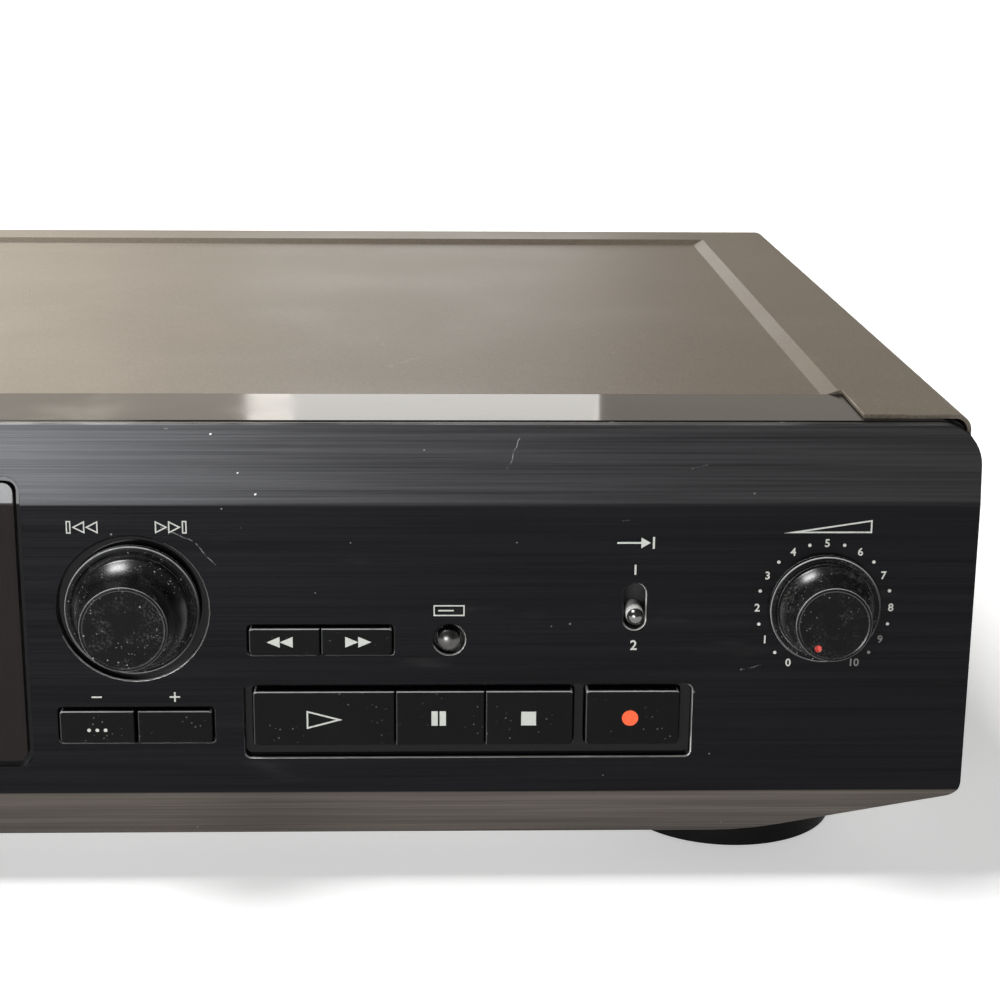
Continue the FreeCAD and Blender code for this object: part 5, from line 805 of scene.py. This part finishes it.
class DECK_OT_stage(bpy.types.Operator):
    """Floor, soft lights and the camera in front of the deck's right half"""
    bl_idname = "deck.stage"
    bl_label = "Stage"

    def execute(self, context):
        stage = settings()[3]
        floor = bmesh.new()
        bmesh.ops.create_grid(floor, x_segments=1, y_segments=1, size=stage.floor)
        data = bpy.data.meshes.new("floor")
        floor.to_mesh(data)
        floor.free()
        data.materials.append(paper_finish().material)
        link("floor", data)

        world = bpy.data.worlds.new("studio")
        world.use_nodes = True
        nodes, links = world.node_tree.nodes, world.node_tree.links
        background = nodes["Background"]
        background.inputs["Color"].default_value = (1.0, 1.0, 1.0, 1.0)
        seen, strength = nodes.new("ShaderNodeLightPath"), nodes.new("ShaderNodeMapRange")
        strength.inputs["To Min"].default_value = WORLD_LIGHT
        strength.inputs["To Max"].default_value = 1.0
        links.new(seen.outputs["Is Camera Ray"], strength.inputs["Value"])
        links.new(strength.outputs["Result"], background.inputs["Strength"])
        context.scene.world = world
        for name, setting in SOFTBOXES.items():
            softbox(name, *setting)

        lens = bpy.data.cameras.new("deck_camera")
        lens.sensor_width = 36.0
        lens.lens = stage.focal * lens.sensor_width
        lens.clip_start, lens.clip_end = 0.01, 50.0
        camera = link("deck_camera", lens)
        place = Vector(stage.place) + Vector((0.0, FACE, 0.0))
        level = Matrix.Rotation(-stage.yaw, 4, "Z")
        looking = level @ Matrix.Rotation(radians(90) - stage.pitch, 4, "X")
        rolled = looking @ Matrix.Rotation(-stage.roll, 4, "Z")
        camera.matrix_world = Matrix.Translation(place) @ rolled
        context.scene.camera = camera
        context.scene.view_settings.view_transform = "Standard"
        return {"FINISHED"}


# ---- casing
class DECK_OT_casing(bpy.types.Operator):
    """Cover, face plate, front moulding, rear panel, pan and feet"""
    bl_idname = "deck.casing"
    bl_label = "Casing"

    def execute(self, context):
        colours, _, wear, _ = settings()
        dress(cover_finish(colours, wear), "top_cover")
        dress(face_finish(colours, wear), "face_plate")
        dress(gloss_finish(colours, wear), "front_bezel")
        dress(plastic_finish("rear_paint", grey(0.014), 0.5), "rear_panel")
        zinc = metal_finish("zinc_steel", (0.55, 0.55, 0.53), 0.42, 0.02)
        dress(zinc, "chassis_pan", "drive_frame", "disc_holder")
        foot = plastic_finish("foot_black", grey(0.0035), 0.5, specular=0.08)
        dress(foot, "front_left_foot", "front_right_foot", "rear_left_foot", "rear_right_foot")
        dress(plastic_finish("pad_rubber", (0.012, 0.011, 0.010), 0.75), "foot_pads")
        return {"FINISHED"}


# ---- window
PANE_BACK = FACE + 1.5 * MM
PANE_SLACK = 0.2 * MM
PANE_CORNER = 2.0 * MM
SLOT_HALF = Vector((37.5, 3.5)) * MM      # half the disc slot's width and height
SLOT_CORNER = 1.0 * MM


def round_outline(shape, radius, segments):
    """Round the edges that run from front to back."""
    edges = [edge for edge in shape.edges if abs(edge.verts[0].co.y - edge.verts[1].co.y) > MM]
    bevel(shape, edges, radius, segments)


class DECK_OT_window(bpy.types.Operator):
    """Smoked display window, with rounded edges and the disc slot through it"""
    bl_idname = "deck.window"
    bl_label = "Window"

    def execute(self, context):
        colours, sizes, wear, _ = settings()
        bottom, top, flap = low("display_window"), high("display_window"), middle("disc_flap").x
        front = bottom.y
        pane = brick((bottom.x + PANE_SLACK, front, bottom.z + PANE_SLACK),
                     (top.x - PANE_SLACK, PANE_BACK, top.z - PANE_SLACK))
        round_outline(pane, PANE_CORNER, 6)
        slot = brick((flap - SLOT_HALF.x, front - MM, SLOT_Z - SLOT_HALF.y),
                     (flap + SLOT_HALF.x, PANE_BACK + MM, SLOT_Z + SLOT_HALF.y))
        round_outline(slot, SLOT_CORNER, 4)
        carved(pane, slot)
        soften(pane, sizes.window_rim, 4,
               lambda edge: all(abs(corner.co.y - front) < 0.01 * MM for corner in edge.verts))
        for height in (-0.5, 0.0, 0.5):
            bmesh.ops.bisect_plane(pane, geom=pane.verts[:] + pane.edges[:] + pane.faces[:],
                                   dist=0.001 * MM, plane_co=(0, 0, FACE_BEND + height * MM),
                                   plane_no=(0, 0, 1))
        for corner in pane.verts:
            corner.co.y += max(0.0, corner.co.z - FACE_BEND) * FACE_LEAN
        smoke = window_finish(colours, wear)
        add("window_pane", pane, smoke, "chassis", "window_smoke", "display_window")
        return {"FINISHED"}


# ---- keys
KEYS = [name + "_key" for name in ("play", "pause", "stop", "record", "rewind", "forward", "edit",
                                   "yes", "eject")]


class DECK_OT_keys(bpy.types.Operator):
    """Moulded keys, the power button, the disc flap and the standby light"""
    bl_idname = "deck.keys"
    bl_label = "Keys"

    def execute(self, context):
        colours, _, wear, _ = settings()
        black = moulded_finish("key_black", tuple(colours.key), wear, specular=0.07, dusty=0.35,
                               painted_highlight=1.0)
        dress(black, *KEYS, "power_button", "disc_flap")
        dress(metal_finish("key_dark_metal", (0.10, 0.098, 0.095), 0.28, 0.0008), "display_key")
        light = moulded_finish("light_red", tuple(colours.light), wear, roughness=0.2, specular=0.5)
        dress(light, "standby_light")
        return {"FINISHED"}


# ---- knobs
# a joint and its body, then in mm: the radius of the front and of the round body behind it,
# where the flare starts, and the flange's front
KNOBS = {"jog_knob": ("jog_spin", "jog", 8.3, 10.95, 2.6, 1.2),
         "level_knob": ("level_turn", "level", 7.3, 9.25, 2.4, 1.8)}
FLANGE_LIP = 0.45 * MM       # the rounding round a knob's flange
DOT_PLACE = 5.5 * MM         # the level knob's dot, from its axis
DOT_ANGLE = radians(-149)
# its hole and its bowl: shares of its radius, and depths in mm under the knob's face
DOT_HOLE = ((0.0, 0.36), (1.0, 0.30), (1.0, -0.1), (0.0, -0.1))
DOT_BOWL = ((0.0, 0.34), (0.6, 0.26), (0.97, 0.05), (0.97, 0.29), (0.0, 0.35))


def knob_profile(tip, body, shoulder, flange, reach, flange_front, back, sizes):
    """A knob from its back to the middle of its front, as (radius, reach) points.

    A thin flange with a raised rim, a short body, a flare to the neck, and a flat end that is sunk
    a little inside its rounded rim.
    """
    rim, rise, neck, lip = sizes.knob_rim, sizes.knob_shoulder, reach - sizes.knob_neck, FLANGE_LIP
    widening, run = body - tip, neck - shoulder
    flare = (widening ** 2 + run ** 2) / (2 * widening) - rise
    turns, quarter = arc(2 * atan(widening / run), 12), arc(pi / 2, 5)
    sunk, floor = reach - sizes.knob_dish, flange_front - 0.5 * lip
    return [(0.0, back), (flange, back), *bow(flange - lip, flange_front - lip, lip, quarter),
            (flange - 2.2 * lip, flange_front), (flange - 3.0 * lip, floor), (body, floor),
            *bow(body - rise, shoulder, rise, turns),
            *bow(tip + flare, neck, -flare, turns[-2::-1]),
            *bow(tip - rim, reach - rim, rim, quarter),
            (tip - 1.7 * rim, reach), (tip - 2.4 * rim, sunk), (0.0, sunk)]


def bead(radius, reach, thick, centre):
    """A thin ring round a knob's axis."""
    return spun(bow(radius, reach, thick, arc(tau, 12)), centre, KNOB_STEPS)


class DECK_OT_knobs(bpy.types.Operator):
    """Jog knob and level knob, with the level knob's red dot"""
    bl_idname = "deck.knobs"
    bl_label = "Knobs"

    def execute(self, context):
        colours, sizes, wear, _ = settings()
        black = moulded_finish("knob_black", tuple(colours.knob), wear, roughness=0.26,
                               specular=0.09, painted_highlight=1.0, polish=0.9, scuffed=1.0)
        rim_highlight = rim_highlight_finish(tuple(colours.knob))
        for node, (joint, rides, *measures) in KNOBS.items():
            tip, body, shoulder, front = (measure * MM for measure in measures)
            bottom, top = low(node), high(node)
            flange, reach, back = (top.x - bottom.x) / 2, FACE - bottom.y, FACE - top.y
            centre = Vector((pivot(joint).x, FACE, pivot(joint).z))
            profile = knob_profile(tip, body, shoulder, flange, reach, front, back, sizes)
            shape = spun(profile, centre, KNOB_STEPS)
            if node == "level_knob":
                self.dot(shape, centre, reach - sizes.knob_dish, sizes.level_dot, wear)
            add(node + "_cap", shape, black, rides, "knob_black", node, sharp=28)
            # thin rings round the flange and the front carry the painted rim highlight
            rims = joined(bead(flange - 0.21 * MM, front - 0.2 * MM, 0.22 * MM, centre),
                          bead(tip - 0.13 * MM, reach - 0.13 * MM, 0.10 * MM, centre))
            add(node + "_rims", rims, rim_highlight, rides, "knob_black", node)
        return {"FINISHED"}

    @staticmethod
    def dot(knob, centre, face, radius, wear):
        """A red bowl let into the knob's face, near its edge."""
        spot = centre + DOT_PLACE * Vector((sin(DOT_ANGLE), 0, cos(DOT_ANGLE)))
        hole, bowl = (
            spun([(radius * part, face - depth * MM) for part, depth in outline], spot, DOT_STEPS)
            for outline in (DOT_HOLE, DOT_BOWL))
        carved(knob, hole)
        red = moulded_finish("level_dot_red", (0.55, 0.03, 0.022), wear, roughness=0.3,
                             specular=0.5, dusty=0.0)
        add("level_dot", bowl, red, "level", "light_red")


# ---- levers
PLATE_FRONT = FACE + 3.7 * MM
PLATE_THICK = 1.0 * MM


class DECK_OT_levers(bpy.types.Operator):
    """Chromed round-ended levers, each with the black plate that hides its slot"""
    bl_idname = "deck.levers"
    bl_label = "Levers"

    def execute(self, context):
        sizes = settings()[1]
        chrome = lever_finish()
        black = plastic_finish("lever_plate_black", grey(0.006), 0.5)
        ball, waist = sizes.ball, sizes.waist
        for body in ("input", "timer"):
            node = body + "_lever"
            bottom, top, centre = low(node), high(node), middle(node)
            centre.y, reach = 0.0, -bottom.y
            stem = [(0.0, -top.y), (waist, -top.y), (waist, reach - 2.1 * ball),
                    (ball, reach - 1.5 * ball), *bow(0.0, reach - ball, ball, arc(pi / 2, 10))]
            add(node + "_stem", spun(stem, centre, SMALL_STEPS), chrome, body, "lever_chrome", node)
            plate = brick((bottom.x, PLATE_FRONT, bottom.z),
                          (top.x, PLATE_FRONT + PLATE_THICK, top.z), 0.2 * MM)
            hole, near, far = waist + 0.01 * MM, MM - PLATE_FRONT, -2 * MM - PLATE_FRONT
            bore = spun([(0.0, near), (hole, near), (hole, far), (0.0, far)], centre,
                        SMALL_STEPS)
            add(node + "_plate", carved(plate, bore), black, body, "lever_chrome", node)
        return {"FINISHED"}


# ---- print
LINE = 0.25 * MM             # width of the thin outlines
RING_LINE = 0.28 * MM        # width of the round ones
DIAL_STEPS = 21              # dots and digits by turns, from 0 to 10
DIAL_START, DIAL_STEP = radians(-150), radians(15)
WORN_AFTER = 17              # the dial's steps after this one are worn


def dial_marks(marks, worn, sizes):
    """The level dial's numbers and dots; the ones by its far stop are worn."""
    dial = pivot("level_turn")
    for step in range(DIAL_STEPS):
        angle = DIAL_START + DIAL_STEP * step
        x = dial.x + sizes.dial_radius * sin(angle)
        z = dial.z + sizes.dial_radius * cos(angle)
        group = worn if step > WORN_AFTER else marks
        if step % 2:
            group.dot(x, z, sizes.dial_dot)
        else:
            group.digits(str(step // 2), x, z, sizes.digit_height, sizes.digit_weight)


def track_marks(marks, start, way):
    """Two arrows against a bar, beside the jog knob."""
    foot, head = 72.9 * MM, 75.4 * MM
    marks.bar(*sorted((start, start + way * 0.9 * MM)), foot, head, LINE)
    for tip, base in ((1.1, 3.5), (3.6, 6.0)):
        near, far = start + way * tip * MM, start + way * base * MM
        marks.outline(LINE, (far, foot), (near, (foot + head) / 2), (far, head))


def sign_marks(marks, sizes):
    """Small generic signs by the other controls."""
    lever, level = middle("input_lever").x, pivot("level_turn").x
    for digit, z in (("1", 65.6), ("2", 50.3)):
        marks.digits(digit, lever, z * MM, 2.0 * MM, sizes.digit_weight)
    marks.outline(0.3 * MM, *((level + x * MM, z * MM)
                              for x, z in ((-8.5, 72.9), (8.5, 72.9), (8.5, 75.5))))
    marks.bars(lever, 0, (-3.6, 1.0, 70.8, 71.15))
    marks.triangle(lever + 1.0 * MM, lever + 2.8 * MM, 69.9 * MM, 72.05 * MM)
    marks.bars(lever, 0, (3.2, 3.6, 69.8, 72.15))
    screen = middle("display_key").x
    marks.bar(screen - 3.0 * MM, screen + 3.0 * MM, 56.3 * MM, 58.5 * MM, LINE)
    marks.bars(screen, 0, (-2.1, 0.9, 57.25, 57.55))
    minus = (-1.0, 1.0, 39.7, 40.02)
    marks.bars(middle("edit_key").x, 0, minus)
    marks.bars(middle("yes_key").x, 0, minus, (-0.16, 0.16, 40.02, 40.86),
               (-0.16, 0.16, 38.86, 39.7))
    eject, top = middle("eject_key").x, high("eject_key").z
    marks.bars(eject, top, (-1.4, 1.4, 1.5, 1.9))
    marks.fill(*((eject + x * MM, top + z * MM) for x, z in ((-1.4, 2.3), (1.4, 2.3), (0, 3.9))))
    marks.ring(middle("power_button").x, high("power_button").z + 2.8 * MM, 1.2 * MM, RING_LINE)
    timer = middle("timer_lever")
    for step in (-4.0, 0.0, 4.0):
        marks.dot(timer.x + step * MM, timer.z + 4.4 * MM, sizes.dial_dot)
    marks.ring(timer.x, timer.z + 8.0 * MM, 1.3 * MM, RING_LINE)
    marks.bars(timer.x, timer.z, (-0.14, 0.14, 7.9, 8.8))


class DECK_OT_print(bpy.types.Operator):
    """Screen print on the face and the keys"""
    bl_idname = "deck.print"
    bl_label = "Print"

    def execute(self, context):
        colours, sizes, _, _ = settings()
        pale = print_finish("face_print", tuple(colours.print_pale))
        faint = print_finish("worn_print", dim(tuple(colours.print_pale), 0.28))
        thick = sizes.print_height
        marks, worn = Marks(FACE), Marks(FACE)
        dial_marks(marks, worn, sizes)
        track_marks(marks, 40.7 * MM, 1)
        track_marks(marks, 63.5 * MM, -1)
        sign_marks(marks, sizes)
        marks.piece("face_marks", pale, "chassis", "face_metal", thick)
        worn.piece("face_marks_worn", faint, "chassis", "face_metal", thick)

        names = ("play", "pause", "stop", "record", "rewind", "forward", "edit")
        keys = {name: Marks(low("play_key").y) for name in names}
        keys["play"].triangle(85.6 * MM, 92.6 * MM, 33.5 * MM, 37.3 * MM, sizes.print_stroke)
        keys["pause"].bars(0, 0, (109.89, 111.12, 34.1, 37.1), (111.48, 112.71, 34.1, 37.1))
        keys["stop"].bars(0, 0, (127.4, 130.3, 34.1, 36.95))
        keys["record"].dot(148.7 * MM, 35.55 * MM, 1.6 * MM)
        for name, start, way in (("rewind", 83.2, -1), ("forward", 93.3, 1)):
            for step in (0.0, 2.5):
                near, far = start + way * step, start + way * (step + 2.5)
                keys[name].triangle(near * MM, far * MM, 50.27 * MM, 52.47 * MM)
        for step in (-1.6, 0.0, 1.6):
            keys["edit"].dot(middle("edit_key").x + step * MM, 33.4 * MM, 0.36 * MM)
        red = print_finish("record_print", tuple(colours.record))
        for name, made in keys.items():
            finish = red if name == "record" else pale
            made.piece(name + "_mark", finish, name, "key_black", thick)
        return {"FINISHED"}


# ---- screws and sockets
JACK_STEPS = 9 * MM, 10 * MM     # a jack's place, sideways and upwards from the block's middle
JACK_BLOCK = 12 * MM
COLLAR_REACH = 1.4 * MM          # how far the collars stand out of the rear panel


class DECK_OT_sockets(bpy.types.Operator):
    """Screws, line jacks, optical ports and the mains inlet"""
    bl_idname = "deck.sockets"
    bl_label = "Sockets"

    def execute(self, context):
        dress(metal_finish("screw_steel", grey(0.10), 0.35, 0.001),
              "cover_screws", "chassis_screws")
        self.jacks()
        dress(plastic_finish("port_plastic", grey(0.012), 0.4),
              "optical_ports", "mains_inlet")
        return {"FINISHED"}

    @staticmethod
    def jacks():
        """Four line jacks: a black block with collars, plated sleeves, white and red inserts."""
        bottom, top, centre = low("line_jacks"), high("line_jacks"), middle("line_jacks")
        root, collar, end = -bottom.y, -BACK - COLLAR_REACH, -top.y
        block = brick(bottom, (top.x, bottom.y + JACK_BLOCK, top.z), 0.4 * MM)
        collars = [(0.0, root), (5.6 * MM, root), (5.6 * MM, collar + 0.3 * MM),
                   (5.3 * MM, collar), (0.0, collar)]
        sleeve = [(3.3 * MM, collar), (4.15 * MM, collar), (4.15 * MM, end + 0.4 * MM),
                  (3.9 * MM, end), (3.3 * MM, end), (3.3 * MM, collar)]
        hole, outer, face = 1.7 * MM, 3.29 * MM, end + 0.7 * MM
        insert = [(hole, collar), (outer, collar), (outer, face), (hole, face), (hole, collar)]
        shapes = {"block": [block], "sleeves": [], "inserts_white": [], "inserts_red": []}
        for side in (-1, 1):
            for row, colour_of_row in ((1, "inserts_white"), (-1, "inserts_red")):
                place = Vector((centre.x + side * JACK_STEPS[0], 0.0,
                                centre.z + row * JACK_STEPS[1]))
                for group, profile in (("block", collars), ("sleeves", sleeve),
                                       (colour_of_row, insert)):
                    shapes[group].append(spun(profile, place, SMALL_STEPS))
        finishes = {
            "block": plastic_finish("jack_plastic", grey(0.014), 0.4),
            "sleeves": metal_finish("jack_nickel", (0.60, 0.58, 0.52), 0.25, 0.002),
            "inserts_white": plastic_finish("jack_white", (0.62, 0.61, 0.58), 0.4),
            "inserts_red": plastic_finish("jack_red", (0.42, 0.02, 0.015), 0.4),
        }
        for name, group in shapes.items():
            add("jack_" + name, joined(*group), finishes[name], "chassis", "jack_plastic",
                "line_jacks")


# ---- inside
# each finish: its colour, its roughness, the size of a metal's lines, and the nodes that get it
METALS = {
    "bright_steel": ((0.62, 0.62, 0.60), 0.3, 0.003,
                     ("jog_shaft", "level_shaft", "guide_rods", "loading_slider", "head_arm",
                      "turntable")),
    "motor_case": ((0.50, 0.50, 0.48), 0.35, 0.004,
                   ("loading_motor", "spindle_motor", "sled_motor")),
    "control_case": ((0.42, 0.42, 0.40), 0.4, 0.004, ("level_pot", "jog_encoder")),
}
PLASTICS = {
    "switch_plastic": (grey(0.03), 0.45,
                       ("tact_switches", "slide_switches", "power_switch", "encoder_rotor")),
    "tube_glass": ((0.05, 0.06, 0.06), 0.15, ("display_tube",)),
    "board_brown": ((0.19, 0.10, 0.035), 0.5, ("front_board", "main_board")),
    "component_black": ((0.02, 0.02, 0.022), 0.45, ("board_components",)),
    "winding_copper": ((0.35, 0.14, 0.05), 0.4, ("mains_transformer",)),
    "cable_grey": ((0.32, 0.32, 0.31), 0.5, ("flat_cable",)),
    "gear_white": ((0.72, 0.70, 0.64), 0.45, ("loading_gear", "motor_pinion", "sled_gear")),
    "sled_black": (grey(0.02), 0.45, ("pickup_sled",)),
}


class DECK_OT_inside(bpy.types.Operator):
    """Boards, transformer, tube and the disc drive"""
    bl_idname = "deck.inside"
    bl_label = "Inside"

    def execute(self, context):
        for make, table in ((metal_finish, METALS), (plastic_finish, PLASTICS)):
            for name, (*looks, nodes) in table.items():
                dress(make(name, *looks), *nodes)
        return {"FINISHED"}


# ---- panel
class DECK_PT_panel(bpy.types.Panel):
    """Every step of the deck, with its colours, sizes and wear"""
    bl_label = "Minidisc deck"
    bl_idname = "DECK_PT_panel"
    bl_space_type = "VIEW_3D"
    bl_region_type = "UI"
    bl_category = "Deck"

    def draw(self, context):
        layout = self.layout
        for step in STEPS:
            layout.operator(step.bl_idname)
        for group in settings():
            box = layout.box()
            for name in type(group).__annotations__:
                box.prop(group, name)


STEPS = (DECK_OT_stage, DECK_OT_casing, DECK_OT_window, DECK_OT_keys, DECK_OT_knobs,
         DECK_OT_levers, DECK_OT_print, DECK_OT_sockets, DECK_OT_inside)
GROUPS = {"deck_colours": DeckColours, "deck_sizes": DeckSizes, "deck_wear": DeckWear,
          "deck_stage": DeckStage}


def register():
    for kind in (*GROUPS.values(), *STEPS, DECK_PT_panel):
        bpy.utils.register_class(kind)
    for name, group in GROUPS.items():
        setattr(bpy.types.Scene, name, PointerProperty(type=group))


def unregister():
    for name in GROUPS:
        delattr(bpy.types.Scene, name)
    for kind in reversed((*GROUPS.values(), *STEPS, DECK_PT_panel)):
        bpy.utils.unregister_class(kind)


def main():
    register()
    for step in STEPS:
        family, name = step.bl_idname.split(".")
        getattr(getattr(bpy.ops, family), name)()


if __name__ == "__main__":
    main()
